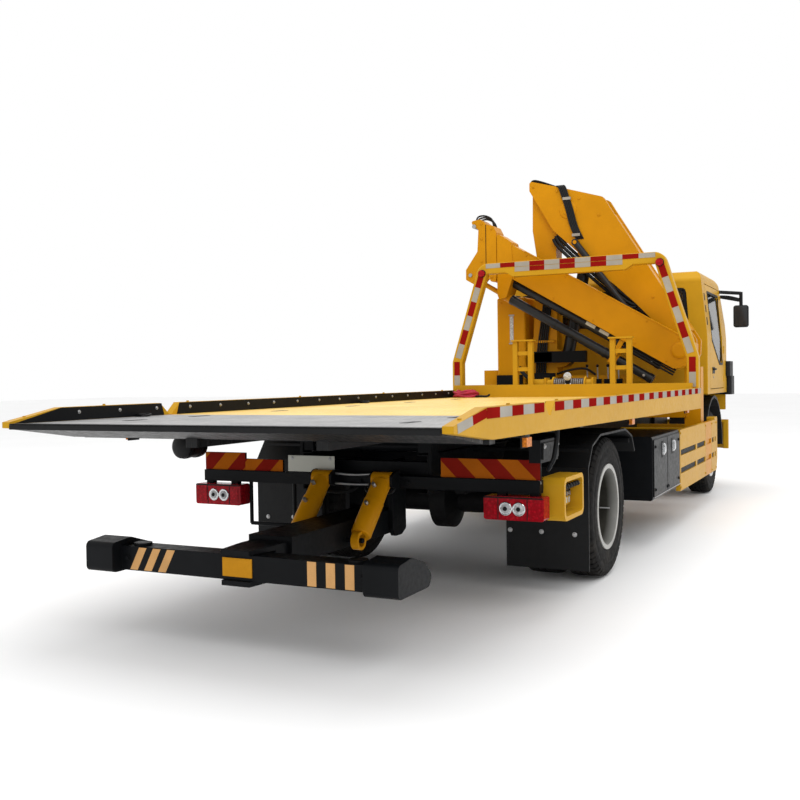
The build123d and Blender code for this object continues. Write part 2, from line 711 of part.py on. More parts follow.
def rear_rims(side):
    low = BEAD_R - SEAT_GAP - RIM_T
    joint = (TRACK_OUTER + TRACK_INNER) / 2
    near = TRACK_INNER - joint + TYRE_W / 2 - 40
    far = TRACK_OUTER - joint - TYRE_W / 2 + 40
    disc = spin([(far, low + 4), (2, 200), (-14, 180), (-14, 100), (14, 100), (14, 190), (far + 22, low + 4)], 0, joint)
    back = spin([(near, low + 4), (-2, 200), (2, 180), (2, 100), (-14, 100), (-14, 190), (near - 22, low + 4)], 0, joint)
    bore = SPINDLE_REAR_R + PIN_GAP
    end = TRACK_OUTER - 32 - joint
    hub = spin([(-220, bore), (-220, 190), (-120, 190), (-120, 120), (60, 120), (end - 10, 105), (end + 14, 80), (end + 14, 0), (end, 0), (end, bore)], 0, joint)
    parts = [rim_barrel(0, TRACK_OUTER), rim_barrel(0, TRACK_INNER), disc, back, hub]
    whole = fuse(*parts) - hand_holes(0, joint, 200)
    return whole if side > 0 else mirror(whole, about=Plane.XZ)


def knuckle(side):
    x = WHEELBASE
    y = KINGPIN_Y
    parts = [rod((x, y, 375), (x, y, 545), KINGPIN_R)]
    parts.append(block(x - 50, x + 50, y - 45, y + 85, 520 + SLIDE_GAP, 550))
    parts.append(block(x - 50, x + 50, y - 45, y + 85, 368, 400 - SLIDE_GAP))
    parts.append(block(x - 50, x + 50, y + 60, y + 90, 368, 550))
    parts.append(rod((x, y + 80, AXLE_Z), (x, TRACK_FRONT + 48, AXLE_Z), SPINDLE_FRONT_R))
    whole = fuse(*parts)
    return whole if side > 0 else mirror(whole, about=Plane.XZ)


# Cab
def cab_form(inset):
    n = CAB_NOSE
    b = CAB_BACK
    side = [
        (b, CAB_FLOOR), (b, CAB_ROOF - 90), (b + 110, CAB_ROOF), (n - 520, CAB_ROOF), (n - 400, CAB_ROOF - 80),
        (n - 60, 1490), (n, 1330), (n, CAB_CHIN), (n - 230, CAB_CHIN), (n - 230, CAB_FLOOR),
    ]
    radii = [20, 60, 90, 90, 70, 90, 60, 15, 15, 0]
    face = sheet([(x, 0, z) for x, z in side], radii)
    w = CAB_HALF
    top = CAB_ROOF + 14
    front = [(-w, CAB_CHIN - 60), (w, CAB_CHIN - 60), (w, 1720), (w - 75, top), (-w + 75, top), (-w, 1720)]
    wall = sheet([(0, y, z) for y, z in front], [0, 0, 90, 120, 120, 90])
    w = CAB_HALF + 14
    plan = [(b - 14, -w), (n - 260, -w), (n + 14, -w + 230), (n + 14, w - 230), (n - 260, w), (b - 14, w)]
    ground = sheet([(x, y, 0) for x, y in plan], [60, 200, 170, 170, 200, 60])
    if inset:
        face = offset(face, amount=-inset)
        wall = offset(wall, amount=-inset)
        ground = offset(ground, amount=-inset)
    long = extrude(face, amount=HALF, dir=(0, 1, 0), both=True)
    deep = Pos(b - 100, 0, 0) * extrude(wall, amount=n - b + 300, dir=(1, 0, 0))
    tall = Pos(0, 0, 500) * extrude(ground, amount=2400, dir=(0, 0, 1))
    return long & deep & tall


def window_prisms(shrink):
    g = shrink
    b = DOOR_BACK
    f = DOOR_FRONT
    door = [(b + 120 + g, 1700 + g), (b + 120 + g, 2215 - g), (f - 90 - g, 2215 - g), (f - 90 - g, 1440 + g), (f - 330, 1440 + g)]
    side = slab_y(door, 700, HALF + 100, radius=[40, 60, 60, 50, 120])
    w = CAB_HALF - 190 - g
    rear = slab_x([(-w, 1850 + g), (w, 1850 + g), (w - 30, 2250 - g), (-w + 30, 2250 - g)], CAB_BACK - 50, CAB_BACK + 120, radius=60)
    w = CAB_HALF - 130 - g
    screen = slab_x([(-w, 1530 + g), (w, 1530 + g), (w - 60, 2270 - g), (-w + 60, 2270 - g)], DOOR_FRONT + 60, CAB_NOSE + 50, radius=70)
    return side, rear, screen


def cab_pieces():
    outer = cab_form(0)
    shell = outer - cab_form(CAB_WALL)
    side, rear, screen = window_prisms(0)
    far = HALF + 200
    gap = PANEL_GAP
    low = FLOOR_SEAM
    high = ROOF_SEAM
    x0 = CAB_BACK - 50
    x1 = CAB_NOSE + 50
    door_zone = block(DOOR_BACK + gap, DOOR_FRONT, CAB_HALF - 250, far, low + gap, high - gap)
    door = (shell & door_zone) - side
    for z in DOOR_HINGES:
        hinge = rod((DOOR_FRONT, CAB_HALF, z), (DOOR_FRONT, CAB_HALF, z + 90), gap - SEAT_GAP)
        door = fuse(door, hinge)
    shell = shell - [rear, screen]
    roof = shell & block(x0, x1, -far, far, high, CAB_ROOF + 50)
    floor = shell & block(x0, CAB_NOSE - 225, -far, far, 800, low)
    back = shell & block(x0, DOOR_BACK, -far, far, low, high)
    front = shell & block(DOOR_FRONT + gap, x1, -far, far, low, high)
    chin = shell & block(CAB_NOSE - 225, x1, -far, far, 800, low)
    thin = cab_form(GLASS_INSET) - cab_form(GLASS_INSET + GLASS_T)
    side, rear, screen = window_prisms(SEAT_GAP)
    pieces = {
        "cab_roof": [roof],
        "cab_floor": [floor],
        "cab_rear_wall": [back],
        "cab_front_panel": [fuse(front, chin, pin_y(CAB_PIVOT, -RAIL_OUT, RAIL_OUT, CAB_PIVOT_R))],
        "cab_glass": [thin & rear, thin & screen],
        "left_door": [door],
        "left_door_glass": [thin & side & door_zone],
        "right_door": [mirror(door, about=Plane.XZ)],
        "right_door_glass": [mirror(thin & side & door_zone, about=Plane.XZ)],
    }
    lamp = block(CAB_NOSE - 250, CAB_NOSE + 40, CAB_HALF - 280, CAB_HALF + 55, 1080, 1300)
    vane = block(CAB_NOSE - 330, CAB_NOSE - 30, CAB_HALF - 170, CAB_HALF + 50, 1299, 1475)
    lamp = fillet(lamp.edges().filter_by(Axis.Z), 40) - outer
    vane = fillet(vane.edges().filter_by(Axis.Z), 40) - outer
    pieces["headlamps"] = twin(fuse(lamp, vane))
    x = CAB_NOSE - 260
    head = fillet(block(x - 45, x + 45, CAB_HALF + 85, CAB_HALF + 255, 1870, 2130).edges(), 30)
    arm = [head, rod((x - 150, CAB_HALF - 110, 2290), (x, CAB_HALF + 170, 2270), 20)]
    arm.append(rod((x, CAB_HALF + 170, 2100), (x, CAB_HALF + 170, 2285), 20))
    arm.append(rod((x - 50, CAB_HALF - 60, 2230), (x, CAB_HALF + 170, 2180), 14))
    pieces["mirrors"] = twin(largest(fuse(*arm) - outer))
    return pieces


def largest(shape):
    return Part() + max(shape.solids(), key=lambda solid: solid.volume)


def cab_seats():
    seats = []
    floor = CAB_FLOOR + CAB_WALL
    x = DOOR_BACK + 170
    for y in (480, -480):
        base = block(x + 40, x + 430, y - 190, y + 190, floor, 1330)
        cushion = fillet(block(x, x + 500, y - 250, y + 250, 1330, 1460).edges(), 40)
        back = slab_y([(x - 10, 1420), (x + 120, 1420), (x + 20, 2020), (x - 80, 2020)], y - 240, y + 240, radius=35)
        seats.append(fuse(base, cushion, back))
    return seats


def dashboard():
    floor = CAB_FLOOR + CAB_WALL
    x = DOOR_FRONT
    dash = slab_y(
        [(x + 30, 1360), (x + 30, 1500), (x + 90, 1540), (x + 330, 1470), (x + 330, 1360)],
        -CAB_HALF + 150, CAB_HALF - 150, radius=20,
    )
    leg = block(x + 120, x + 260, -330, 330, floor, 1380)
    return fuse(dash, leg)


def steering_wheel():
    centre = Vector(DOOR_FRONT - 130, 480, 1600)
    lean = Vector(-0.62, 0, 0.78)
    plane = Plane(origin=centre, z_dir=lean)
    rim = plane * Torus(215, 17)
    hub = plane * Cylinder(55, 40)
    parts = [rim, hub]
    for angle in (90, 210, 330):
        tip = plane.from_local_coords(Vector(215 * math.cos(math.radians(angle)), 215 * math.sin(math.radians(angle)), 0))
        parts.append(rod(centre, tip, 13))
    parts.append(rod(centre, centre - lean * 300, 30))
    return fuse(*parts)


# Bed
def deck():
    y = HALF - CURB_W
    x1 = BED_FRONT - 200
    under = DECK_TOP - DECK_T
    parts = [block(TAIL, x1, -y, y, under, DECK_TOP)]
    parts.append(slab_y([(TAIL, 1095), (TAIL, under + 1), (TAIL + 440, under + 1), (TAIL + 440, 1030)], -y, y))
    for side in (1, -1):
        sill = sorted((side * RAIL_IN, side * RAIL_OUT))
        parts.append(block(TAIL + 430, BED_FRONT, *sill, SILL_BOTTOM, under))
    count = 11
    for i in range(count + 1):
        x = TAIL + 520 + i * (BED_FRONT - 80 - TAIL - 520) / count
        parts.append(block(x, x + 70, -y, y, 1022, under))
    return [fuse(*parts)]


def side_rails():
    top = CURB_TOP
    outline = [
        (TAIL, 1100), (TAIL, 1130), (TAIL + 350, top), (BED_FRONT, top), (BED_FRONT, 1000), (TAIL + 440, 1050)
    ]
    notch = slab_y(
        [(RAIL_SPLIT - 95, top + 1), (RAIL_SPLIT + 95, top + 1), (RAIL_SPLIT + 12, DECK_TOP + 4), (RAIL_SPLIT - 12, DECK_TOP + 4)],
        HALF - CURB_W - 1, HALF + 1,
    )
    return twin(slab_y(outline, HALF - CURB_W, HALF) - notch)


def headboard_hoop():
    s = BED_FRONT - 80
    y = HALF - 55
    path = FilletPolyline(
        (s, y, CURB_TOP), (s, y, 1480), (s, HALF - 355, 2440), (s, -HALF + 355, 2440), (s, -y, 1480), (s, -y, CURB_TOP),
        radius=70,
    )
    section = Plane(origin=path @ 0, z_dir=path % 0, x_dir=(1, 0, 0)) * RectangleRounded(100, 110, 14)
    gusset = [(-660, 2400), (660, 2400), (570, 2345), (-570, 2345)]
    return [fuse(sweep(sections=section, path=path), slab_x(gusset, s - 50, s + 50))]


def deck_posts():
    x0 = BED_FRONT - 200
    y = HALF - CURB_W
    parts = [block(x0, BED_FRONT, -y, y, DECK_TOP - DECK_T, DECK_TOP)]
    parts.append(block(x0, x0 + 70, -y, y, DECK_TOP - 1, 1245))
    for left, right in ((350, 560), (-640, -430)):
        for a in (left, right - 50):
            parts.append(block(x0 + 10, x0 + 60, a, a + 50, 1244, 1690))
        for z in (1380, 1540):
            parts.append(block(x0 + 20, x0 + 50, left, right, z, z + 40))
        parts.append(block(x0 - 10, x0 + 80, left - 12, right + 12, 1680, 1696))
    return [fuse(*parts)]


def winch():
    x = BED_FRONT - 75
    z = 1250
    parts = []
    for y in (-250, 230):
        parts.append(block(x - 55, x + 60, y, y + 20, DECK_TOP, z + 60))
    parts.append(rod((x, -240, z), (x, 240, z), 42))
    for y in (-170, 155):
        parts.append(rod((x, y, z), (x, y + 15, z), 70))
    parts.append(rod((x, 250, z), (x, 400, z), 48))
    return fuse(*parts)


def bed_subframe():
    parts = []
    for side in (1, -1):
        rail = sorted((side * RAIL_IN, side * RAIL_OUT))
        parts.append(block(SUB_REAR, SUB_FRONT, *rail, SUB_BOTTOM, SUB_TOP))
        x, z = TILT_HIGH
        for off in (-45, 30):
            lug_y = sorted((side * (TILT_Y + off), side * (TILT_Y + off + 15)))
            lug = [(x - 40, z - 38), (x + TILT_REACH + 10, z - 38), (x + TILT_REACH + 10, z + 45), (x - 40, z + 45)]
            parts.append(slab_y(lug, *lug_y))
    for x in (-700, 200, TILT_HIGH[0] + TILT_REACH, SUB_FRONT - 80):
        parts.append(block(x, x + 80, -RAIL_IN - 1, RAIL_IN + 1, SUB_BOTTOM + 10, SUB_TOP - 10))
    parts.append(pin_y(BED_PIVOT, -RAIL_OUT - 20, RAIL_OUT + 20, BED_PIN_R))
    return [fuse(*parts)]


def tilt_ends(side):
    y = side * TILT_Y
    return (TILT_LOW[0], y, TILT_LOW[1]), (TILT_HIGH[0], y, TILT_HIGH[1])


def bed_tilt_cylinders():
    sizes = (TILT_BARREL, 46, TILT_ROD_R, 20, 42, 98, 80)
    return [ram_barrel(*tilt_ends(side), (0, 1, 0), sizes) for side in (1, -1)]


def bed_tilt_rods():
    sizes = (TILT_ROD_R, 80, 0, 34, 60 - 2 * SEAT_GAP)
    return [ram_rod(*tilt_ends(side), (0, 1, 0), sizes) for side in (1, -1)]


# Underlift
def underlift_arm():
    x0 = ARM_END
    x1 = LIFT_PIVOT[0] + 50
    tube = block(x0, x1, -ARM_HALF, ARM_HALF, ARM_BOTTOM, ARM_TOP)
    w = ARM_WALL
    cavity = block(x0 - 1, LIFT_PIVOT[0] - 45, -ARM_HALF + w, ARM_HALF - w, ARM_BOTTOM + w, ARM_TOP - w)
    parts = [tube - cavity, pin_y(LIFT_PIVOT, -ARM_HALF - 30, ARM_HALF + 30, 30)]
    for side in (1, -1):
        parts.append(pin_y(LIFT_PIN, *sorted((side * (ARM_HALF - 5), side * (LIFT_Y + 30))), 14))
    return [fuse(*parts)]


def lift_ends(side):
    y = side * LIFT_Y
    return (LIFT_TOP[0], y, LIFT_TOP[1]), (LIFT_PIN[0], y, LIFT_PIN[1])


def underlift_cylinders():
    sizes = (LIFT_BARREL, 55, LIFT_ROD_R, 22, 44, 118, 60)
    return [ram_barrel(*lift_ends(side), (0, 1, 0), sizes) for side in (1, -1)]


def underlift_rods():
    sizes = (LIFT_ROD_R, 60 + LIFT_STROKE, 34, 52, 44)
    return [ram_rod(*lift_ends(side), (0, 1, 0), sizes) for side in (1, -1)]


def underlift_extension():
    g = ARM_WALL + SLIDE_GAP
    web = SWIVEL + 110
    wide = ARM_HALF - g
    parts = [block(web, LIFT_PIVOT[0] - 60, -wide, wide, ARM_BOTTOM + g, ARM_TOP - g)]
    parts.append(block(web, web + 25, -wide, wide, BAR_BOTTOM - 25, ARM_TOP - g))
    tongue = [(web + 1, -wide), (web + 1, wide), (SWIVEL - 80, wide - 25), (SWIVEL - 80, -wide + 25)]
    parts.append(slab_z(tongue, BAR_BOTTOM - 25, BAR_BOTTOM - SLIDE_GAP))
    parts.append(slab_z(tongue, BAR_TOP + SLIDE_GAP, ARM_TOP - g))
    parts.append(rod((SWIVEL, 0, BAR_BOTTOM - 25), (SWIVEL, 0, ARM_TOP - g), SWIVEL_R))
    return [fuse(*parts)]


def underlift_crossbar():
    parts = [block(SWIVEL - 60, SWIVEL + 60, -BAR_HALF - 5, BAR_HALF + 5, BAR_BOTTOM, BAR_TOP)]
    x = SWIVEL
    claw = [(x - 130, 360), (x + 190, 360), (x + 225, 410), (x + 150, 480), (x + 10, 525), (x - 130, 510)]
    for side in (1, -1):
        parts.append(slab_y(claw, *sorted((side * BAR_HALF, side * (BAR_HALF + 175))), radius=28))
    cuts = [rod((x, 0, 300), (x, 0, 600), SWIVEL_R + PIN_GAP)]
    for side in (1, -1):
        cuts.append(rod((x, side * SOCKET_Y, 300), (x, side * SOCKET_Y, 600), SOCKET_R))
    return [fuse(*parts) - cuts]


def all_pieces():
    pieces = {
        "frame_rails": frame_rails(),
        "axles": front_axle() + rear_axle(),
        "driveline": driveline(),
        "fuel_tank": fuel_tank(),
        "tool_box": tool_box(),
        "side_skirts": side_skirts(),
        "front_bumper": front_bumper(),
        "fenders": fenders(),
        "lamp_bar": lamp_bar(),
        "tail_lamps": tail_lamps(),
        "control_box": control_box(),
        "crane_base": crane_base(),
        "oil_tank": oil_tank(),
        "crane_column": crane_column(),
        "inner_boom": inner_boom(),
        "lift_cylinder": lift_cylinder(),
        "lift_rod": lift_rod(),
        "fold_cylinder": fold_cylinder(),
        "fold_rod": fold_rod(),
        "outer_boom": outer_boom(),
        "boom_extension": boom_extension(),
        "cab_seats": cab_seats(),
        "dashboard": [fuse(dashboard(), steering_wheel())],
        "deck": deck(),
        "side_rails": side_rails(),
        "headboard_hoop": headboard_hoop(),
        "deck_posts": [fuse(*deck_posts(), winch())],
        "bed_subframe": bed_subframe(),
        "bed_tilt_cylinders": bed_tilt_cylinders(),
        "bed_tilt_rods": bed_tilt_rods(),
        "underlift_arm": underlift_arm(),
        "underlift_cylinders": underlift_cylinders(),
        "underlift_rods": underlift_rods(),
        "underlift_extension": underlift_extension(),
        "underlift_crossbar": underlift_crossbar(),
    }
    pieces.update(cab_pieces())
    beam = outrigger_beam()
    leg = outrigger_leg()
    for name, side in (("left", 1), ("right", -1)):
        pieces[f"outrigger_beam_{name}"] = [beam if side > 0 else mirror(beam, about=Plane.XZ)]
        pieces[f"outrigger_leg_{name}"] = [leg if side > 0 else mirror(leg, about=Plane.XZ)]
        pieces[f"{name}_knuckle"] = [knuckle(side)]
        pieces[f"front_{name}_tyre"] = [tyre(WHEELBASE, side * TRACK_FRONT)]
        pieces[f"front_{name}_rim"] = [front_rim(side)]
        pieces[f"rear_{name}_tyres"] = [tyre(0, side * TRACK_OUTER), tyre(0, side * TRACK_INNER)]
        pieces[f"rear_{name}_rims"] = [rear_rims(side)]
    return pieces


def main():
    os.makedirs("parts", exist_ok=True)
    for name, shapes in all_pieces().items():
        solids = [solid for shape in shapes for solid in shape.solids()]
        whole = Compound([Pos(-MIDDLE, 0, 0) * solid for solid in solids])
        export_step(whole, f"parts/{name}.step")


if __name__ == "__main__":
    main()
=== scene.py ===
"""Looks of the flatbed tow truck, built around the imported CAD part."""
import json
import math

import bpy
from mathutils import Matrix, Vector


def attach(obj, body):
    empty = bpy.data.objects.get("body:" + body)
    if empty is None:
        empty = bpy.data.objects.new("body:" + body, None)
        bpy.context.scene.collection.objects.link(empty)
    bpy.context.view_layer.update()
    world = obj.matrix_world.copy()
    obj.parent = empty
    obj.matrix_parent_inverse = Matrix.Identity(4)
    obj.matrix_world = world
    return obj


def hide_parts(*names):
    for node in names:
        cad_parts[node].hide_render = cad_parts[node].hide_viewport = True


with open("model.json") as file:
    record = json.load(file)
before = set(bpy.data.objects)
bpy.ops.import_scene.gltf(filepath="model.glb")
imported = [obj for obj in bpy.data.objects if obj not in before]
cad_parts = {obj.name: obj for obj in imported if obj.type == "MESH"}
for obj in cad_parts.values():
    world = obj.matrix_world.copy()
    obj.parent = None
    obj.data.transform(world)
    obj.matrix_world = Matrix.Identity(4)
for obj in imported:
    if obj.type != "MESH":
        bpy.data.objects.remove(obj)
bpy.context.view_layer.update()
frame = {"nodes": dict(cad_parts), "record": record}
nodes = frame["nodes"]

# Stations run in millimetres from the rear axle, as in the CAD source
MIDDLE = 1625.0  # station of the model's origin
WHEELBASE = 4950.0
TYRE_R = 460.0
TRACK_OUTER = 1045.0
TRACK_INNER = 765.0
TRACK_FRONT = 960.0
HALF = 1250.0  # half the bed's width
TAIL = -2800.0
SPLIT = -1550.0  # where the bare tail plate meets the painted deck
BED_FRONT = 3160.0
DECK_TOP = 1120.0
RAIL_FACE = 1200.0  # inner face of the side rails
RAIL_TOP = 1193.0
TAPE_Z = 1168.0
HOOP_FACE = 3029.0
RAIL_REAR = -1250.0  # rear end of the frame
BOARD_FACE = RAIL_REAR - 60.0
LAMP_FACE = RAIL_REAR - 120.0
LAMP_Z = 608.0
BOX_FACE = -1220.0  # outer face of the tool box
SKIRT_FACE = 1205.0  # bottom of the slots in the side skirts
LEVER_FACE = -HALF + 86.0  # front of the lever block in the control box
SWIVEL = RAIL_REAR - 1220.0
CROSSBAR_FACE = SWIVEL - 60.0
CRANE_S = 3850.0
BOOM_FACE = CRANE_S - 160.0
BOOM_PIN = (180.0, 3080.0)
TANK_FACE = CRANE_S - 195.0
BANK_FACE = 3640.0  # rear of the valve banks
OUTER_S = 3470.0
OUTER_FACE = OUTER_S - 115.0
OUTER_UNDER = -175.0  # underside of the outer boom, across it
KNUCKLE = (-1020.0, 1560.0)
SLOPE = math.radians(30.5)
CAB_BACK = 4300.0
CAB_NOSE = 5960.0
CAB_HALF = 1140.0
CAB_WAIST = 1720.0  # the cab's sides lean in above this height
CAB_LEAN = 75 / 710
HEADLAMP_BACK = 5990.0
BUMPER_FACE = 6050.0
DOOR_BACK = CAB_BACK + 180.0
DOOR_FRONT = WHEELBASE + 520.0

# Directions
ALONG = (1, 0, 0)
BACKWARD = (-1, 0, 0)
ACROSS = (0, 1, 0)
UP = (0, 0, 1)
OUTER_UP = (0, -math.sin(SLOPE), math.cos(SLOPE))

# Stage: floor in metres, camera place in millimetres like the stations, turns in degrees
FLOOR_SIZE = 120.0
FLOOR_Z = -0.004
CAMERA_AT = (-6322.0, -2757.0, 1322.0)
CAMERA_YAW = 26.311
CAMERA_PITCH = -1.255
CAMERA_ROLL = -0.832
CAMERA_LENS = 43.55

# Radius of the softened edges, in metres
EDGE = 0.004


def at(s, y, z):
    """A station, side and height in millimetres as a point of the model."""
    return Vector(((s - MIDDLE) / 1000, y / 1000, z / 1000))


def outer(along, above):
    """Side and height of a point along and across the sloping outer boom."""
    c, s = math.cos(SLOPE), math.sin(SLOPE)
    return (KNUCKLE[0] + along * c - above * s, KNUCKLE[1] + along * s + above * c)


def span(side, a, b):
    """Two distances from the centre line on one side, lower value first."""
    return sorted((side * a, side * b))


# Materials
def new_material(name):
    mat = bpy.data.materials.new(name)
    mat.use_nodes = True
    tree = mat.node_tree
    shader = tree.nodes["Principled BSDF"]
    coord = tree.nodes.new("ShaderNodeTexCoord")
    return mat, tree, shader, coord.outputs["Object"]


def noise(tree, coord, scale, detail=4.0, rough=0.55):
    n = tree.nodes.new("ShaderNodeTexNoise")
    n.inputs["Scale"].default_value = scale
    n.inputs["Detail"].default_value = detail
    n.inputs["Roughness"].default_value = rough
    tree.links.new(coord, n.inputs["Vector"])
    return n.outputs["Fac"]


def ramp(tree, fac, stops):
    r = tree.nodes.new("ShaderNodeValToRGB")
    tree.links.new(fac, r.inputs["Fac"])
    r.color_ramp.elements[0].position = stops[0][0]
    r.color_ramp.elements[0].color = (*stops[0][1], 1)
    r.color_ramp.elements[1].position = stops[-1][0]
    r.color_ramp.elements[1].color = (*stops[-1][1], 1)
    for pos, colour in stops[1:-1]:
        e = r.color_ramp.elements.new(pos)
        e.color = (*colour, 1)
    return r.outputs["Color"]


def remap(tree, value, lo, hi, to_lo, to_hi):
    m = tree.nodes.new("ShaderNodeMapRange")
    tree.links.new(value, m.inputs["Value"])
    for key, v in (("From Min", lo), ("From Max", hi), ("To Min", to_lo), ("To Max", to_hi)):
        m.inputs[key].default_value = v
    return m.outputs["Result"]


def math_node(tree, op, a, b):
    m = tree.nodes.new("ShaderNodeMath")
    m.operation = op
    m.use_clamp = True
    for i, v in enumerate((a, b)):
        if isinstance(v, (int, float)):
            m.inputs[i].default_value = v
        else:
            tree.links.new(v, m.inputs[i])
    return m.outputs["Value"]


def mix(tree, fac, a, b):
    m = tree.nodes.new("ShaderNodeMix")
    m.data_type = "RGBA"
    tree.links.new(fac, m.inputs[0])
    for socket, v in ((m.inputs[6], a), (m.inputs[7], b)):
        if isinstance(v, tuple):
            socket.default_value = (*v, 1)
        else:
            tree.links.new(v, socket)
    return m.outputs[2]


def axis_of(tree, coord, axis):
    sep = tree.nodes.new("ShaderNodeSeparateXYZ")
    tree.links.new(coord, sep.inputs["Vector"])
    return sep.outputs[axis]


def bump(tree, shader, height, strength, distance, normal=None):
    b = tree.nodes.new("ShaderNodeBump")
    b.inputs["Strength"].default_value = strength
    b.inputs["Distance"].default_value = distance
    tree.links.new(height, b.inputs["Height"])
    if normal is not None:
        tree.links.new(normal, b.inputs["Normal"])
    tree.links.new(b.outputs["Normal"], shader.inputs["Normal"])


def soft_edges(tree):
    b = tree.nodes.new("ShaderNodeBevel")
    b.samples = 4
    b.inputs["Radius"].default_value = EDGE
    return b.outputs["Normal"]


def coated(name, colour, rough=0.35, metal=0.0, coat=0.0, vary=0.12, scale=3.0, dust=0.0, grain=0.0,
           spec=0.3):
    """A surface with slow colour drift, a varied roughness, low dust and softened edges."""
    mat, tree, shader, coord = new_material(name)
    slow = noise(tree, coord, scale)
    dark = tuple(c * (1 - vary) for c in colour)
    light = tuple(min(1, c * (1 + vary * 0.6)) for c in colour)
    base = ramp(tree, slow, [(0.3, dark), (0.7, light)])
    if dust:
        height = remap(tree, axis_of(tree, coord, "Z"), 0.15, 1.25, 1.0, 0.0)
        spots = remap(tree, noise(tree, coord, 9.0, 6.0), 0.4, 0.7, 0.0, dust)
        base = mix(tree, math_node(tree, "MULTIPLY", height, spots), base, (0.23, 0.2, 0.165))
    tree.links.new(base, shader.inputs["Base Color"])
    fine = noise(tree, coord, 38.0, 5.0)
    worn = remap(tree, fine, 0.25, 0.75, rough * 0.8, min(1, rough * 1.25))
    tree.links.new(worn, shader.inputs["Roughness"])
    shader.inputs["Metallic"].default_value = metal
    shader.inputs["Specular IOR Level"].default_value = spec
    shader.inputs["Coat Weight"].default_value = coat
    shader.inputs["Coat Roughness"].default_value = 0.08
    normal = soft_edges(tree)
    if grain:
        bump(tree, shader, noise(tree, coord, 160.0, 2.0), grain, 0.002, normal)
    else:
        tree.links.new(normal, shader.inputs["Normal"])
    return mat


def glass(name):
    """Tinted window glass that lets the inside show faintly."""
    mat, tree, shader, coord = new_material(name)
    base = ramp(tree, noise(tree, coord, 2.0), [(0.3, (0.012, 0.014, 0.015)), (0.7, (0.03, 0.033, 0.034))])
    tree.links.new(base, shader.inputs["Base Color"])
    tree.links.new(remap(tree, noise(tree, coord, 12.0), 0.3, 0.7, 0.03, 0.08), shader.inputs["Roughness"])
    shader.inputs["Alpha"].default_value = 0.78
    return mat


def lens(name, colour):
    """A moulded lamp lens with small cells under a thin coat."""
    mat, tree, shader, coord = new_material(name)
    v = tree.nodes.new("ShaderNodeTexVoronoi")
    v.inputs["Scale"].default_value = 60.0
    tree.links.new(coord, v.inputs["Vector"])
    deep = tuple(c * 0.55 for c in colour)
    cell = ramp(tree, v.outputs["Distance"], [(0.05, colour), (0.6, deep)])
    tree.links.new(cell, shader.inputs["Base Color"])
    tree.links.new(remap(tree, noise(tree, coord, 20.0), 0.3, 0.7, 0.12, 0.2), shader.inputs["Roughness"])
    shader.inputs["Coat Weight"].default_value = 0.05
    shader.inputs["Specular IOR Level"].default_value = 0.1
    bump(tree, shader, v.outputs["Distance"], 0.25, 0.003)
    return mat


def tape(name, colour):
    """Reflective tape: a fine honeycomb over a bright film."""
    mat, tree, shader, coord = new_material(name)
    v = tree.nodes.new("ShaderNodeTexVoronoi")
    v.inputs["Scale"].default_value = 260.0
    tree.links.new(coord, v.inputs["Vector"])
    faded = tuple(c * 0.78 for c in colour)
    worn = ramp(tree, noise(tree, coord, 6.0, 6.0), [(0.3, faded), (0.65, colour)])
    cell = remap(tree, v.outputs["Distance"], 0.0, 0.6, 0.0, 0.35)
    tree.links.new(mix(tree, cell, worn, tuple(c * 0.6 for c in colour)), shader.inputs["Base Color"])
    tree.links.new(remap(tree, noise(tree, coord, 30.0), 0.3, 0.7, 0.25, 0.42), shader.inputs["Roughness"])
    shader.inputs["Specular IOR Level"].default_value = 0.0
    return mat


def deck_surface(name):
    """Chequer plate: bare grey on the tail, yellow paint with scuffs ahead of it, and near-black painted
    shade on faces that do not point up.
    """
    mat, tree, shader, coord = new_material(name)
    yellow = ramp(tree, noise(tree, coord, 1.6, 5.0), [(0.3, (0.68, 0.43, 0.09)), (0.7, (0.87, 0.6, 0.17))])
    scuff = remap(tree, noise(tree, coord, 7.0, 8.0, 0.7), 0.58, 0.72, 0.0, 0.5)
    yellow = mix(tree, scuff, yellow, (0.42, 0.36, 0.26))
    grey = ramp(tree, noise(tree, coord, 5.0, 6.0), [(0.3, (0.2, 0.2, 0.2)), (0.7, (0.34, 0.335, 0.33))])
    split = (SPLIT - MIDDLE) / 1000
    ahead = remap(tree, axis_of(tree, coord, "X"), split - 0.004, split + 0.004, 0.0, 1.0)
    # Faces that do not point up get near-black painted shade
    geo = tree.nodes.new("ShaderNodeNewGeometry")
    top = remap(tree, axis_of(tree, geo.outputs["Normal"], "Z"), 0.55, 0.65, 0.0, 1.0)
    plate = mix(tree, ahead, grey, yellow)
    tree.links.new(mix(tree, top, (0.007, 0.0074, 0.008), plate), shader.inputs["Base Color"])
    shader.inputs["Specular IOR Level"].default_value = 0.25
    tree.links.new(remap(tree, noise(tree, coord, 25.0), 0.25, 0.75, 0.32, 0.55), shader.inputs["Roughness"])
    turned = []
    for angle in (45, -45):
        m = tree.nodes.new("ShaderNodeMapping")
        m.inputs["Rotation"].default_value = (0, 0, math.radians(angle))
        m.inputs["Scale"].default_value = (16, 44, 1)
        tree.links.new(coord, m.inputs["Vector"])
        v = tree.nodes.new("ShaderNodeTexVoronoi")
        v.inputs["Scale"].default_value = 1.0
        v.inputs["Randomness"].default_value = 0.0
        tree.links.new(m.outputs["Vector"], v.inputs["Vector"])
        turned.append(remap(tree, v.outputs["Distance"], 0.18, 0.32, 1.0, 0.0))
    bars = math_node(tree, "MAXIMUM", turned[0], turned[1])
    bump(tree, shader, bars, 0.6, 0.004, soft_edges(tree))
    return mat


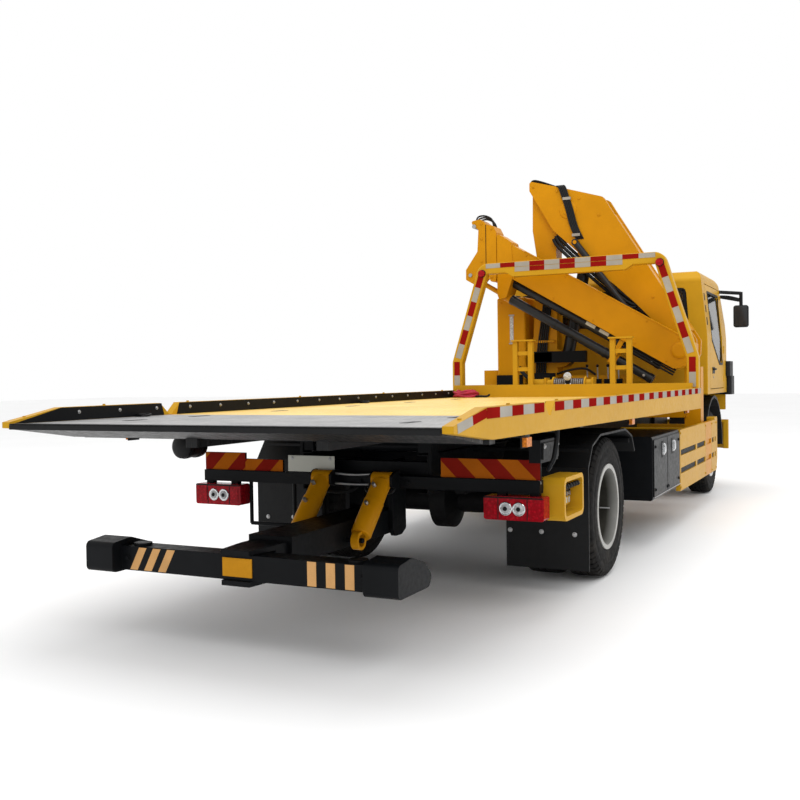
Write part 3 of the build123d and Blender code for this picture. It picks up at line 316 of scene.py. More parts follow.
def shaded_dish_rim(name):
    """Rim paint with near-black painted shade, mixed with dirt, deep inside the dish, and clean paint at the
    lip.
    """
    mat, tree, shader, coord = new_material(name)
    side = tree.nodes.new("ShaderNodeMath")
    side.operation = "ABSOLUTE"
    tree.links.new(axis_of(tree, coord, "Y"), side.inputs[0])
    # Darker by depth into the dish: painted shade with some dirt; the lip keeps clean paint
    lip_mask = remap(tree, side.outputs["Value"], 1.08, 1.16, 0.0, 1.0)
    stains = noise(tree, coord, 7.0, 6.0)
    dish_shade_and_dirt = ramp(tree, stains, [(0.3, (0.024, 0.023, 0.019)), (0.7, (0.055, 0.052, 0.043))])
    paint = ramp(tree, noise(tree, coord, 5.0), [(0.3, (0.3, 0.3, 0.28)), (0.7, (0.42, 0.415, 0.395))])
    tree.links.new(mix(tree, lip_mask, dish_shade_and_dirt, paint), shader.inputs["Base Color"])
    tree.links.new(remap(tree, noise(tree, coord, 30.0), 0.25, 0.75, 0.26, 0.42), shader.inputs["Roughness"])
    shader.inputs["Metallic"].default_value = 0.1
    shader.inputs["Specular IOR Level"].default_value = 0.2
    bump(tree, shader, noise(tree, coord, 300.0), 0.04, 0.002, soft_edges(tree))
    return mat


YELLOW = (0.52, 0.28, 0.014)
GOLD = (0.55, 0.235, 0.003)
mats = {
    "cab_yellow": coated("cab paint", YELLOW, 0.34, vary=0.07, spec=0.06),
    "crane_yellow": coated("crane paint", GOLD, 0.34, vary=0.09, spec=0.08),
    "deck_yellow": deck_surface("deck plate"),
    "chassis_black": coated("chassis black", (0.005, 0.0056, 0.0066), 0.42, vary=0.3, spec=0.09),
    "cast_black": coated("cast black", (0.008, 0.008, 0.0085), 0.6, vary=0.35, grain=0.15, spec=0.14),
    "engine_grey": coated("engine grey", (0.05, 0.05, 0.053), 0.5, metal=0.3, vary=0.3, grain=0.2),
    "tank_alloy": coated("tank alloy", (0.5, 0.51, 0.52), 0.35, metal=0.9, vary=0.1, dust=0.2),
    "box_black": coated("box black", (0.006, 0.0068, 0.008), 0.38, vary=0.25, spec=0.12),
    "black_plastic": coated("black plastic", (0.008, 0.0084, 0.009), 0.5, vary=0.25, grain=0.12,
                            spec=0.16),
    "ram_black": coated("ram black", (0.013, 0.0137, 0.015), 0.32, coat=0.08, vary=0.25, spec=0.25),
    "rod_chrome": coated("rod chrome", (0.62, 0.63, 0.64), 0.12, metal=1.0, vary=0.06),
    "seat_fabric": coated("seat fabric", (0.03, 0.031, 0.035), 0.9, vary=0.3, scale=20.0, grain=0.5),
    "dark_glass": glass("dark glass"),
    "tyre_rubber": coated("tyre rubber", (0.009, 0.0088, 0.0088), 0.75, vary=0.3, scale=6.0, dust=0.08,
                          grain=0.2, spec=0.1),
    "rim_silver": coated("rim silver", (0.5, 0.49, 0.47), 0.33, metal=0.35, vary=0.12, dust=0.12),
    "lamp_red": lens("red lens", (0.48, 0.006, 0.016)),
    "lamp_clear": lens("clear lens", (0.72, 0.73, 0.74)),
}
extra = {
    "tape_red": tape("red tape", (0.29, 0.01, 0.008)),
    "tape_white": tape("pale tape", (0.42, 0.39, 0.34)),
    "board_red": tape("board red", (0.26, 0.016, 0.01)),
    "board_orange": tape("board orange", (0.5, 0.13, 0.01)),
    "amber": lens("amber lens", (0.8, 0.24, 0.02)),
    "bar_amber": tape("amber reflector", (0.62, 0.28, 0.02)),
    "bar_pale": tape("pale amber film", (0.72, 0.4, 0.16)),
    "bolt_zinc": coated("bolt zinc", (0.4, 0.4, 0.4), 0.35, metal=0.9, vary=0.15),
    "hose": coated("hose rubber", (0.009, 0.009, 0.009), 0.5, vary=0.3, grain=0.25, spec=0.2),
    "rope": coated("steel rope", (0.24, 0.23, 0.22), 0.45, metal=0.8, vary=0.3, scale=60.0, grain=0.6),
    "red_strap": coated("red strap", (0.42, 0.02, 0.05), 0.6, vary=0.25, scale=12.0, grain=0.5),
    "plate_blank": coated("blank plate", (0.5, 0.5, 0.44), 0.4, vary=0.12),
    "shaded_dish_rim": shaded_dish_rim("rear rim paint"),
    "black": mats["chassis_black"],
    "ram_band": mats["ram_black"],
    "plastic": mats["black_plastic"],
    "yellow": mats["cab_yellow"],
    "gold": mats["crane_yellow"],
    "chrome": mats["rod_chrome"],
    "rubber": mats["tyre_rubber"],
    "red": mats["lamp_red"],
    "clear": mats["lamp_clear"],
    "mirror_glass": coated("mirror glass", (0.02, 0.022, 0.025), 0.08, coat=0.15, vary=0.1),
}
slot_of = {part["node"]: part["material_slot"] for part in frame["record"]["subparts"]}
for name, obj in nodes.items():
    obj.data.materials.clear()
    deep = name in ("rear_left_rims", "rear_right_rims")
    obj.data.materials.append(extra["shaded_dish_rim"] if deep else mats[slot_of[name]])


# Small pieces
class Kit:
    """Gathers small shapes of one CAD body into one mesh."""

    def __init__(self, name, body):
        self.name = name.replace(" ", "_")
        self.body = body
        self.verts = []
        self.faces = []
        self.marks = []
        self.used = []

    def mark(self, key):
        if key not in self.used:
            self.used.append(key)
        return self.used.index(key)

    def add(self, points, faces, key):
        base = len(self.verts)
        self.verts.extend(points)
        self.faces.extend([tuple(base + i for i in f) for f in faces])
        self.marks.extend([self.mark(key)] * len(faces))

    def slab(self, lower, upper, key):
        """A closed solid between two rings of the same count."""
        n = len(lower)
        faces = [tuple(range(n - 1, -1, -1)), tuple(range(n, 2 * n))]
        faces += [(i, (i + 1) % n, n + (i + 1) % n, n + i) for i in range(n)]
        self.add(list(lower) + list(upper), faces, key)

    def box(self, s0, s1, y0, y1, z0, z1, key):
        ring = [(s0, y0), (s1, y0), (s1, y1), (s0, y1)]
        self.slab([at(s, y, z0) for s, y in ring], [at(s, y, z1) for s, y in ring], key)

    def prism(self, points, shift, key):
        """A closed outline of (s, y, z) points pushed along shift, all in mm."""
        lower = [at(*p) for p in points]
        move = Vector(shift) / 1000
        normal = (lower[1] - lower[0]).cross(lower[2] - lower[1])
        if normal.dot(move) < 0:
            lower.reverse()
        self.slab(lower, [p + move for p in lower], key)

    def patch(self, a, b, up, normal, width, thick, key):
        """A thin strip from a to b, width across along up, standing thick off the face."""
        a, b, up, normal = at(*a), at(*b), Vector(up).normalized(), Vector(normal).normalized()
        h = up * width / 2000
        ring = [a - h, b - h, b + h, a + h]
        move = normal * thick / 1000
        if (ring[1] - ring[0]).cross(ring[2] - ring[1]).dot(move) < 0:
            ring.reverse()
        self.slab(ring, [p + move for p in ring], key)

    def tube(self, points, radius, key, sides=12, smooth_path=True):
        """A round bar or hose along the points."""
        pts = [at(*p) for p in points]
        if smooth_path and len(pts) > 2:
            pts = rounded(pts)
        rings = []
        normal = None
        for i, p in enumerate(pts):
            d = (pts[min(i + 1, len(pts) - 1)] - pts[max(i - 1, 0)]).normalized()
            if normal is None:
                normal = d.orthogonal().normalized()
            normal = (normal - d * normal.dot(d)).normalized()
            side = d.cross(normal)
            r = radius / 1000
            rings.append([
                p + (normal * math.cos(a) + side * math.sin(a)) * r
                for a in (2 * math.pi * k / sides for k in range(sides))
            ])
        verts = [v for ring in rings for v in ring]
        faces = []
        for i in range(len(rings) - 1):
            for k in range(sides):
                n = (k + 1) % sides
                low, high = i * sides, (i + 1) * sides
                faces.append((low + k, low + n, high + n, high + k))
        last = (len(rings) - 1) * sides
        faces.append(tuple(range(sides - 1, -1, -1)))
        faces.append(tuple(last + k for k in range(sides)))
        self.add(verts, faces, key)

    def rod(self, a, b, radius, key, sides=20):
        self.tube([a, b], radius, key, sides, False)

    def bolt(self, p, normal, radius, key="bolt_zinc", height=None):
        n = Vector(normal).normalized()
        h = height or radius * 0.9
        p = Vector(p)
        self.rod(p - n * 2, p + n * h * 0.25, radius * 1.5, key, 14)
        self.rod(p, p + n * (h + 1), radius, key, 6)

    def lathe(self, profile, centre, axis, key, sides=48, closed=False):
        """Turns (along, radius) points in mm about axis through centre."""
        axis = Vector(axis).normalized()
        u = axis.orthogonal().normalized()
        w = axis.cross(u)
        c = at(*centre)
        verts = []
        for a, r in profile:
            for k in range(sides):
                t = 2 * math.pi * k / sides
                verts.append(c + axis * a / 1000 + (u * math.cos(t) + w * math.sin(t)) * r / 1000)
        faces = []
        count = len(profile)
        for i in range(count if closed else count - 1):
            j = (i + 1) % count
            for k in range(sides):
                n = (k + 1) % sides
                faces.append((i * sides + k, j * sides + k, j * sides + n, i * sides + n))
        if not closed:
            faces.append(tuple(range(sides)))
            faces.append(tuple((count - 1) * sides + k for k in range(sides - 1, -1, -1)))
        self.add(verts, faces, key)

    def done(self, replaces=()):
        """Makes the mesh and lets it ride on its body."""
        mesh = bpy.data.meshes.new(self.name)
        mesh.from_pydata([tuple(v) for v in self.verts], [], self.faces)
        for key in self.used:
            mesh.materials.append(extra[key])
        mesh.polygons.foreach_set("material_index", self.marks)
        mesh.polygons.foreach_set("use_smooth", [True] * len(mesh.polygons))
        mesh.set_sharp_from_angle(angle=math.radians(35))
        mesh.update()
        obj = bpy.data.objects.new(self.name, mesh)
        bpy.context.scene.collection.objects.link(obj)
        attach(obj, self.body)
        if replaces:
            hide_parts(*replaces)


def rounded(points, steps=6):
    """A smooth path through the points."""
    out = []
    n = len(points)
    for i in range(n - 1):
        p0 = points[max(i - 1, 0)]
        p1 = points[i]
        p2 = points[i + 1]
        p3 = points[min(i + 2, n - 1)]
        for k in range(steps):
            t = k / steps
            out.append(0.5 * (2 * p1 + (p2 - p0) * t + (2 * p0 - 5 * p1 + 4 * p2 - p3) * t * t
                              + (3 * p1 - p0 - 3 * p2 + p3) * t ** 3))
    out.append(points[-1])
    return out


def strip(kit, a, b, up, normal, width, length, keys, thick=1.5):
    """Alternating tape patches from a to b."""
    a = Vector(a)
    b = Vector(b)
    whole = (b - a).length
    count = max(1, round(whole / length))
    for i in range(count):
        start, end = a.lerp(b, i / count), a.lerp(b, (i + 1) / count)
        kit.patch(start, end, up, normal, width, thick, keys[i % len(keys)])


# Bed trim
TAPE = ("tape_white", "tape_red")
bed = Kit("bed tape", "bed")
for side in (1, -1):
    y = side * HALF
    face = (0, side, 0)
    for s0, s1 in ((SPLIT + 90, BED_FRONT - 12), (TAIL + 365, SPLIT - 90)):
        strip(bed, (s0, y, TAPE_Z), (s1, y, TAPE_Z), UP, face, 48, 165, TAPE[::-1])
    low = Vector((TAIL + 40, y, 1118))
    high = Vector((TAIL + 362, y, 1170))
    rise = (high - low).normalized()
    strip(bed, low, high, (-rise.z, 0, rise.x), face, 40, 165, TAPE)
    for foot, head in (((1180, 1528), (905, 2395)), ((1195, 1205), (1195, 1490))):
        a = Vector((HOOP_FACE, side * foot[0], foot[1]))
        b = Vector((HOOP_FACE, side * head[0], head[1]))
        d = (b - a).normalized()
        strip(bed, a, b, (0, -d.z, d.y), BACKWARD, 62, 160, TAPE)
count = 11
for i in range(count):
    y0 = 860 - i * 1720 / count
    y1 = 860 - (i + 1) * 1720 / count
    for z in (2466, 2416) if 2 <= i <= 8 else (2466,):
        bed.patch((HOOP_FACE, y0, z), (HOOP_FACE, y1, z), UP, BACKWARD, 46, 1.5, TAPE[i % 2])
bed.done()

trim = Kit("bed trim", "bed")
for side in (1, -1):
    y = side * RAIL_FACE
    for low0, low1, high1, high0 in ((TAIL + 25, SPLIT - 60, SPLIT - 85, TAIL + 350),
                                     (SPLIT + 60, BED_FRONT - 205, BED_FRONT - 205, SPLIT + 85)):
        corners = ((low0, DECK_TOP + 1), (low1, DECK_TOP + 1), (high1, RAIL_TOP), (high0, RAIL_TOP))
        trim.prism([(s, y, z) for s, z in corners], (0, -side * 2, 0), "black")
    for i in range(17):
        s = TAIL + 480 + i * 320
        if abs(s - SPLIT) > 110 and s < BED_FRONT - 260:
            trim.bolt((s, side * (RAIL_FACE - 2), 1165), (0, -side, 0), 7)
    for s0, s1, r, key in ((3, -33, 34, "red"), (5, -7, 40, "plastic")):
        trim.rod((HOOP_FACE + s0, side * 902, 2392), (HOOP_FACE + s1, side * 902, 2392), r, key, 24)
    for s in (TAIL + 120, TAIL + 700, SPLIT + 200, 0, 1400, 2700):
        trim.bolt((s, side * 1225, RAIL_TOP + 1 if s > TAIL + 360 else 1148), UP, 9, "yellow")
    for s in (-1866, 356, 2494):
        trim.box(s - 38, s + 38, side * 1222, side * 1246, 985, 1030, "amber")
        trim.box(s - 46, s + 46, side * 1216, side * 1224, 980, 1036, "plastic")
trim.box(TAIL - 6, TAIL + 30, -1195, 1195, 1093, 1116, "plastic")
trim.box(TAIL - 3, TAIL + 55, -1195, 1195, DECK_TOP - 1, DECK_TOP + 3, "plastic")
# Key slots, drawn as flat black patches of painted shade, and tie-down rings in the deck
for s in (-2300, -1750, -900, 100, 1100, 2100):
    for y in (-820, 820):
        trim.box(s - 75, s + 75, y - 22, y + 22, DECK_TOP - 1, DECK_TOP + 1.5, "black")
for s, y in ((-1850, -1150), (-700, -620), (900, 1150), (900, -1150), (-1850, 1150)):
    turns = [k * math.pi / 8 for k in range(17)]
    loop = [(s + 38 * math.cos(a), y + 38 * math.sin(a), DECK_TOP + 9 + 5 * math.cos(a)) for a in turns]
    trim.tube(loop, 7, "hose", 10)
    trim.box(s - 52, s - 22, y - 20, y + 20, DECK_TOP - 1, DECK_TOP + 16, "black")
# Silver work lamp on the bulkhead
trim.box(3006, 3026, -18, 22, 1240, 1300, "black")
trim.lathe([(34, 12), (30, 24), (6, 36), (0, 40), (-10, 40)], (3012, 2, 1322), ALONG, "chrome", 32)
trim.lathe([(-8, 37), (-13, 32), (-16, 18)], (3012, 2, 1322), ALONG, "clear", 32)
trim.tube([(3014, -20, 1250), (3012, -34, 1215), (3010, 0, 1196), (3012, 30, 1215), (3014, 22, 1250)],
          9, "chrome", 12)
# Red strap heap beside the hoop
for k, (r, h) in enumerate(((120, 1136), (104, 1150), (126, 1166), (92, 1180))):
    loop = [(2880 + 0.75 * r * math.cos(a) + 6 * k, 1040 + r * math.sin(a), h + 8 * math.sin(3 * a + k))
            for a in [j * math.pi / 12 for j in range(25)]]
    trim.tube(loop, 14, "red_strap", 10)
trim.tube([(2860, 930, 1132), (2820, 860, 1134), (2850, 800, 1132), (2900, 790, 1146)], 11, "hose", 10)
# Winch rope
for i in range(15):
    y = -152 + i * 21.5
    trim.lathe([(-10, 44), (-6, 52), (0, 55), (6, 52), (10, 44)], (BED_FRONT - 75, y, 1250), ACROSS,
               "rope", 32)
trim.done()

# Stake that hangs from the right edge of the bed, and a dark block behind it
stake = Kit("hanging stake", "bed")
stake.tube([(-1380, -1232, 1062), (-1385, -1236, 1000), (-1440, -1236, 900), (-1470, -1230, 868)],
           13, "black", 12)
stake.tube([(-1470, -1230, 868), (-1488, -1225, 850), (-1472, -1215, 838), (-1450, -1218, 850)],
           11, "black", 12)
stake.box(-1405, -1355, -1246, -1222, 1040, 1064, "black")
stake.done()

block = Kit("under bed block", "bed")
block.box(-1400, -1090, -1150, -1085, 862, 985, "black")
block.box(-1380, -1110, -1160, -1149, 880, 968, "plastic")
for s in (-1360, -1130):
    block.bolt((s, -1160, 950), (0, -1, 0), 9, "bolt_zinc", 6)
block.done()

# Dark reservoir under the left edge of the bed
pot = Kit("under bed reservoir", "bed")
POT = (-1466, 1120, 919)
pot.lathe([(-104, 8), (-100, 52), (-86, 72), (86, 72), (100, 52), (104, 8)], POT, ALONG, "plastic", 36)
for s in (POT[0] - 50, POT[0] + 50):
    pot.box(s - 14, s + 14, 1045, 1195, 982, 1010, "black")
    pot.lathe([(-12, 76), (12, 76), (12, 70), (-12, 70)], (s, *POT[1:]), ALONG, "black", 36, closed=True)
pot.done()

# Rear lamps, boards and plate
rear = Kit("rear boards", "chassis")


def clipped(points, lo, hi):
    """Keeps the part of a (y, z) outline between two y values."""
    for limit, sign in ((lo, 1), (hi, -1)):
        out = []
        for i, p in enumerate(points):
            q = points[(i + 1) % len(points)]
            p_in = (p[0] - limit) * sign >= 0
            q_in = (q[0] - limit) * sign >= 0
            if p_in:
                out.append(p)
            if p_in != q_in:
                t = (limit - p[0]) / (q[0] - p[0])
                out.append((limit, p[1] + (q[1] - p[1]) * t))
        points = out
        if len(points) < 3:
            return []
    return points


def chevrons(y0, y1, z0, z1, lean, start):
    """Slanting red and orange bands on a warning board."""
    band = 118
    h = z1 - z0
    y = y0 - 2 * h
    k = start
    while y < y1 + 2 * h:
        shape = [(y, z0), (y + band, z0), (y + band + lean * h, z1), (y + lean * h, z1)]
        shape = clipped(shape, y0, y1)
        if shape:
            key = ("board_red", "board_orange")[k % 2]
            rear.prism([(BOARD_FACE, a, b) for a, b in shape], (-1.6, 0, 0), key)
        y += band
        k += 1


chevrons(812, 1118, 762, 870, -1, 0)
chevrons(532, 811, 762, 833, -1, 0)
chevrons(-1118, -532, 762, 870, 1, 1)
for side in (1, -1):
    for y in (938, 1014):
        lamp = (LAMP_FACE, side * y, LAMP_Z)
        rear.lathe([(6, 38), (-3, 38), (-6, 34), (-4, 30)], lamp, ALONG, "chrome", 32)
        rear.lathe([(2, 30), (-3, 28), (-8, 20), (-10, 8)], lamp, ALONG, "clear", 32)
        rear.lathe([(-8, 13), (-11, 12), (-12, 4)], lamp, ALONG, "plastic", 24)
    for y0, y1 in ((830, 880), (1070, 1136)):
        rear.box(LAMP_FACE - 3, LAMP_FACE + 1, *span(side, y0, y1), 570, 650, "red")
    for y in (895, 1062):
        rear.box(LAMP_FACE - 2, LAMP_FACE + 1, side * y - 2, side * y + 2, 550, 670, "plastic")
    rear.box(LAMP_FACE - 4, LAMP_FACE + 6, *span(side, 815, 1151), 664, 672, "plastic")
    for y in (850, 1110):
        rear.bolt((BOARD_FACE, side * y, 748), BACKWARD, 9)
# Blank number plate, bar bolts, and the leads and bars between the lift cylinders
rear.box(-1346, -1341, 145, 470, 770, 867, "plate_blank")
rear.box(-1341, -1320, 180, 435, 735, 820, "black")
for y in (175, 440):
    rear.bolt((-1346, y, 850), BACKWARD, 7)
for y in (-330, -20, 300):
    rear.bolt((RAIL_REAR - 75, y, 725), BACKWARD, 12, "black")
for side in (1, -1):
    rear.tube([(-1330, side * 250, 700), (-1350, side * 235, 668), (-1342, side * 140, 654),
               (-1305, side * 50, 664), (-1262, side * 24, 698)], 9, "hose")
rear.tube([(-1320, 270, 745), (-1360, 200, 770), (-1372, 0, 764), (-1360, -180, 772), (-1320, -260, 745)],
          7, "bolt_zinc")
rear.tube([(-1320, 255, 700), (-1368, 180, 712), (-1376, 0, 708), (-1368, -180, 712), (-1320, -255, 700)],
          7, "bolt_zinc")
rear.done()


# Tyres with tread
def tyre_rings(kit, s, y):
    """One tyre: a turned carcass with grooves, and shoulder blocks round it."""
    top = TYRE_R - 1
    floor_r = top - 13
    wall = [(-95, 263), (-113, 300), (-115, 340), (-114, 372), (-112, 376), (-112, 380), (-114, 384),
            (-113, 405), (-110, 425), (-90, top - 6)]
    outline = wall + [(-86, floor_r)]
    for a, b in ((-50, -28), (-16, 16), (28, 50)):
        outline += [(a - 3, floor_r), (a, top), (b, top), (b + 3, floor_r)]
    outline.append((86, floor_r))
    outline += [(-a, r) for a, r in reversed(wall)]
    outline += [(92, 255), (-92, 255)]
    kit.lathe(outline, (s, y, TYRE_R), ACROSS, "rubber", 96, closed=True)
    blocks = 54
    for shoulder in (-1, 1):
        for k in range(blocks):
            stagger = k + 0.25 * (shoulder > 0)
            a0 = 2 * math.pi * (stagger + 0.12) / blocks
            a1 = 2 * math.pi * (stagger + 0.88) / blocks
            ring = []
            for off, r in ((56, floor_r - 3), (56, top), (92, top - 4), (111, 432), (106, 418)):
                for a in (a0, a1):
                    ring.append((s + r * math.cos(a), y + shoulder * off, TYRE_R + r * math.sin(a)))
            pts = [at(*p) for p in ring]
            n = 5
            faces = [(2 * i, 2 * i + 1, 2 * ((i + 1) % n) + 1, 2 * ((i + 1) % n)) for i in range(n)]
            faces += [tuple(2 * i for i in range(n - 1, -1, -1)), tuple(2 * i + 1 for i in range(n))]
            if shoulder < 0:
                faces = [tuple(reversed(f)) for f in faces]
            kit.add(pts, faces, "rubber")


def wheel_nuts(kit, s, y, side, radius, count, depth):
    """A ring of nuts on a wheel, facing its outer side."""
    for k in range(count):
        a = 2 * math.pi * (k + 0.5) / count
        p = (s + radius * math.cos(a), y, TYRE_R + radius * math.sin(a))
        kit.bolt(p, (0, side, 0), 15, "bolt_zinc", depth)


for name, sign in (("left", 1), ("right", -1)):
    front = Kit("front %s tread" % name, "wheel_front_%s" % name)
    tyre_rings(front, WHEELBASE, sign * TRACK_FRONT)
    front.done(replaces=("front_%s_tyre" % name,))
    pair = Kit("rear %s tread" % name, "wheels_rear_%s" % name)
    for y in (TRACK_OUTER, TRACK_INNER):
        tyre_rings(pair, 0, sign * y)
    pair.done(replaces=("rear_%s_tyres" % name,))
    nuts = Kit("front %s nuts" % name, "wheel_front_%s" % name)
    wheel_nuts(nuts, WHEELBASE, sign * (TRACK_FRONT + 66), sign, 145, 10, 34)
    nuts.tube([(WHEELBASE + 210, sign * (TRACK_FRONT + 40), TYRE_R + 30),
               (WHEELBASE + 236, sign * (TRACK_FRONT + 80), TYRE_R + 34)], 6, "bolt_zinc", 10)
    nuts.done()
    nuts = Kit("rear %s nuts" % name, "wheels_rear_%s" % name)
    middle = (TRACK_OUTER + TRACK_INNER) / 2
    wheel_nuts(nuts, 0, sign * (middle + 14), sign, 150, 10, 38)
    for k in range(8):
        a = 2 * math.pi * k / 8
        p = (72 * math.cos(a), sign * (TRACK_OUTER - 20), TYRE_R + 72 * math.sin(a))
        nuts.bolt(p, (0, sign, 0), 8, "bolt_zinc", 9)
    nuts.tube([(205, sign * (middle + 60), TYRE_R - 40), (238, sign * (TRACK_OUTER + 60), TYRE_R - 44)],
              6, "bolt_zinc", 10)
    nuts.done()

# Chassis side: tool box, skirts, control box and mudflaps
side_kit = Kit("chassis side trim", "chassis")
for s in (1480, 1890):
    side_kit.box(s - 34, s + 34, BOX_FACE - 3, BOX_FACE + 1, 670, 800, "plastic")
    side_kit.box(s - 20, s + 20, BOX_FACE - 12, BOX_FACE - 2, 690, 782, "chrome")
    handle = ((8, 776), (20, 765), (20, 715), (8, 700))
    side_kit.tube([(s, BOX_FACE - off, z) for off, z in handle], 8, "chrome", 10)
side_kit.box(1678, 1684, BOX_FACE - 2, BOX_FACE + 1, 388, 822, "plastic")
for s, z in ((1200, 440), (1200, 770), (2150, 440), (2150, 770), (1660, 420), (1702, 420)):
    side_kit.bolt((s, BOX_FACE, z), (0, -1, 0), 10, "black")
side_kit.box(1150, 2215, BOX_FACE - 4, BOX_FACE + 8, 381, 387, "bolt_zinc")
for side in (1, -1):
    for s0, s1 in ((2238, 3612), (3988, 4300)):
        for z in (463, 620):
            a, b = s0 + 32, s1 - 32
            cut = a + (b - a) * 0.62
            for p, q in ((a, cut - 35), (cut + 35, b)):
                # Dark plastic backing at the bottom of each slot: painted shade inside the slot
                side_kit.box(p, q, *span(side, SKIRT_FACE, SKIRT_FACE + 3), z + 2, z + 48, "plastic")
                for k in range(3):
                    zz = z + 8 + k * 14
                    side_kit.box(p, q, *span(side, SKIRT_FACE + 2, SKIRT_FACE + 8), zz, zz + 6, "black")
            side_kit.box(cut - 35, cut + 35, *span(side, SKIRT_FACE, SKIRT_FACE + 14), z - 1, z + 51,
                         "yellow")
        for s in (s0 + 14, s1 - 14):
            for z in (345, 815):
                side_kit.bolt((s, side * (SKIRT_FACE + 15), z), (0, side, 0), 8, "yellow")
for i in range(6):
    x = RAIL_REAR + 75 + i * 50
    side_kit.lathe([(-14, 4), (-11, 11), (-4, 15), (4, 15), (11, 11), (14, 4)], (x, LEVER_FACE - 48, 714),
                   (0, -0.87, 0.48), "plastic", 20)
    side_kit.box(x - 13, x + 13, LEVER_FACE + 1, LEVER_FACE + 5, 600, 634, "plate_blank")
    side_kit.rod((x, LEVER_FACE + 6, 655), (x, LEVER_FACE - 6, 655), 13, "bolt_zinc", 16)
side_kit.box(RAIL_REAR + 52, RAIL_REAR + 348, LEVER_FACE, LEVER_FACE + 5, 640, 688, "plastic")
side_kit.box(RAIL_REAR + 40, RAIL_REAR + 360, LEVER_FACE + 45, LEVER_FACE + 50, 560, 740, "plastic")
for k in range(5):
    y = -HALF + 160
    x = RAIL_REAR + 90 + 55 * k
    side_kit.tube([(x, y - 15, 640), (x + 10, y + 60, 640), (x + 60, y + 160, 690 + 6 * k),
                   (x + 200, -440, 720 + 10 * k), (x + 600, -440, 740 + 8 * k)], 10, "hose", 10)
for side in (1, -1):
    for y, z in ((696, 372), (899, 371), (1108, 364)):
        side_kit.bolt((-631, side * y, z), BACKWARD, 10, "bolt_zinc", 6)
side_kit.done()

# Crane trim
boom = Kit("inner boom trim", "boom")
for y, z in (BOOM_PIN, (560, 3360), (300, 3290), (60, 3190), (-150, 3000), (-420, 2560), (-700, 2120),
             (-960, 1690)):
    boom.bolt((BOOM_FACE, y, z), BACKWARD, 11, "gold", 6)
boom.lathe([(-4, 92), (-10, 92), (-14, 86), (-14, 60)], (BOOM_FACE + 6, *BOOM_PIN), ALONG, "gold", 36)
boom.lathe([(-4, 70), (-12, 70), (-16, 62), (-16, 40)], (BOOM_FACE + 6, *KNUCKLE), ALONG, "gold", 36)
# Flat bundle of hoses down the head, as (off the face, side, height)
BUNDLE = ((20, 300, 3345), (-14, 262, 3330), (-16, 232, 3250), (-16, 185, 3100), (-16, 138, 2919),
          (-14, 95, 2815), (20, 60, 2740))
for k in range(5):
    o = 17 * k - 14
    boom.tube([(BOOM_FACE + s, y - o, z) for s, y, z in BUNDLE], 9, "hose", 10)
# Hoses along the lower edge, as (along the edge, off it)
EDGE_RUN = ((40, -30), (150, 0), (500, 6), (850, 0), (1120, -20), (1200, -70))
edge_dir = Vector((0, -0.729, -0.685))
edge_off = Vector((0, 0.685, -0.729))
for off in (24, 62, 100):
    start = Vector((3712, 330, 2868)) + edge_off * off
    boom.tube([tuple(start + edge_dir * d + edge_off * b) for d, b in EDGE_RUN], 18, "hose", 12)
for y, z in ((196, 3200), (98, 2810)):
    boom.box(BOOM_FACE - 28, BOOM_FACE + 1, y - 50, y + 34, z - 14, z + 14, "tape_white")
boom.done()

column = Kit("column trim", "chassis")
# Hoses over the column's head, then down its rear face
for k in range(4):
    s = CRANE_S - 90 + 30 * k
    column.tube([(s, 330, 3352), (s, 560, 3440 - 4 * k), (s, 612, 3395), (s, 590, 3330)], 10, "hose", 10)
for k in range(5):
    o = 24 * k
    column.tube([(CRANE_S - 118, 560 - o, 1320), (CRANE_S - 128, 540 - o, 1600),
                 (CRANE_S - 120, 470 - o * 0.8, 2100), (CRANE_S - 116, 440 - o * 0.6, 2450)], 10, "hose", 10)
for z in (1700, 2300):
    column.box(CRANE_S - 136, CRANE_S - 104, 350, 560, z - 12, z + 12, "gold")
for a in range(8):
    t = 2 * math.pi * a / 8
    column.bolt((CRANE_S + 140 * math.cos(t), 450 + 140 * math.sin(t), 1299), UP, 12, "bolt_zinc")
# Oil tank: cap, sight glass, bolts and feed hoses
column.lathe([(0, 48), (22, 48), (30, 40), (34, 0.5)], (CRANE_S, 820, 2183), UP, "plastic", 28)
column.box(TANK_FACE - 5, TANK_FACE + 1, 790, 830, 1700, 1980, "clear")
for z in (1985, 1680):
    column.box(TANK_FACE - 8, TANK_FACE, 780, 840, z, z + 15, "bolt_zinc")
for y, z in ((700, 1290), (930, 1290), (700, 2130), (930, 2130)):
    column.bolt((TANK_FACE, y, z), BACKWARD, 9, "gold")
column.tube([(TANK_FACE - 1, 720, 1420), (TANK_FACE - 45, 700, 1400), (TANK_FACE - 45, 600, 1300),
             (CRANE_S - 150, 520, 1270)], 20, "hose", 14)
column.tube([(CRANE_S - 160, -100, 1335), (CRANE_S - 200, 0, 1400), (CRANE_S - 180, 160, 1390),
             (CRANE_S - 110, 330, 1350)], 12, "hose", 12)
# Crane valves with their levers and hoses
for k in range(4):
    y = -380 + k * 110
    column.box(CRANE_S - 168, CRANE_S - 120, y, y + 80, 1200, 1290, "black")
    column.rod((CRANE_S - 150, y + 40, 1288), (CRANE_S - 165, y + 40, 1420), 7, "bolt_zinc", 12)
    column.lathe([(-16, 4), (-12, 12), (0, 17), (12, 12), (16, 4)], (CRANE_S - 166, y + 40, 1428), UP,
                 "plastic", 18)
    column.tube([(CRANE_S - 160, y + 30, 1210), (CRANE_S - 230, y + 20, 1180), (CRANE_S - 210, y + 60, 1100),
                 (CRANE_S - 100, y + 80, 1108)], 11, "hose", 10)
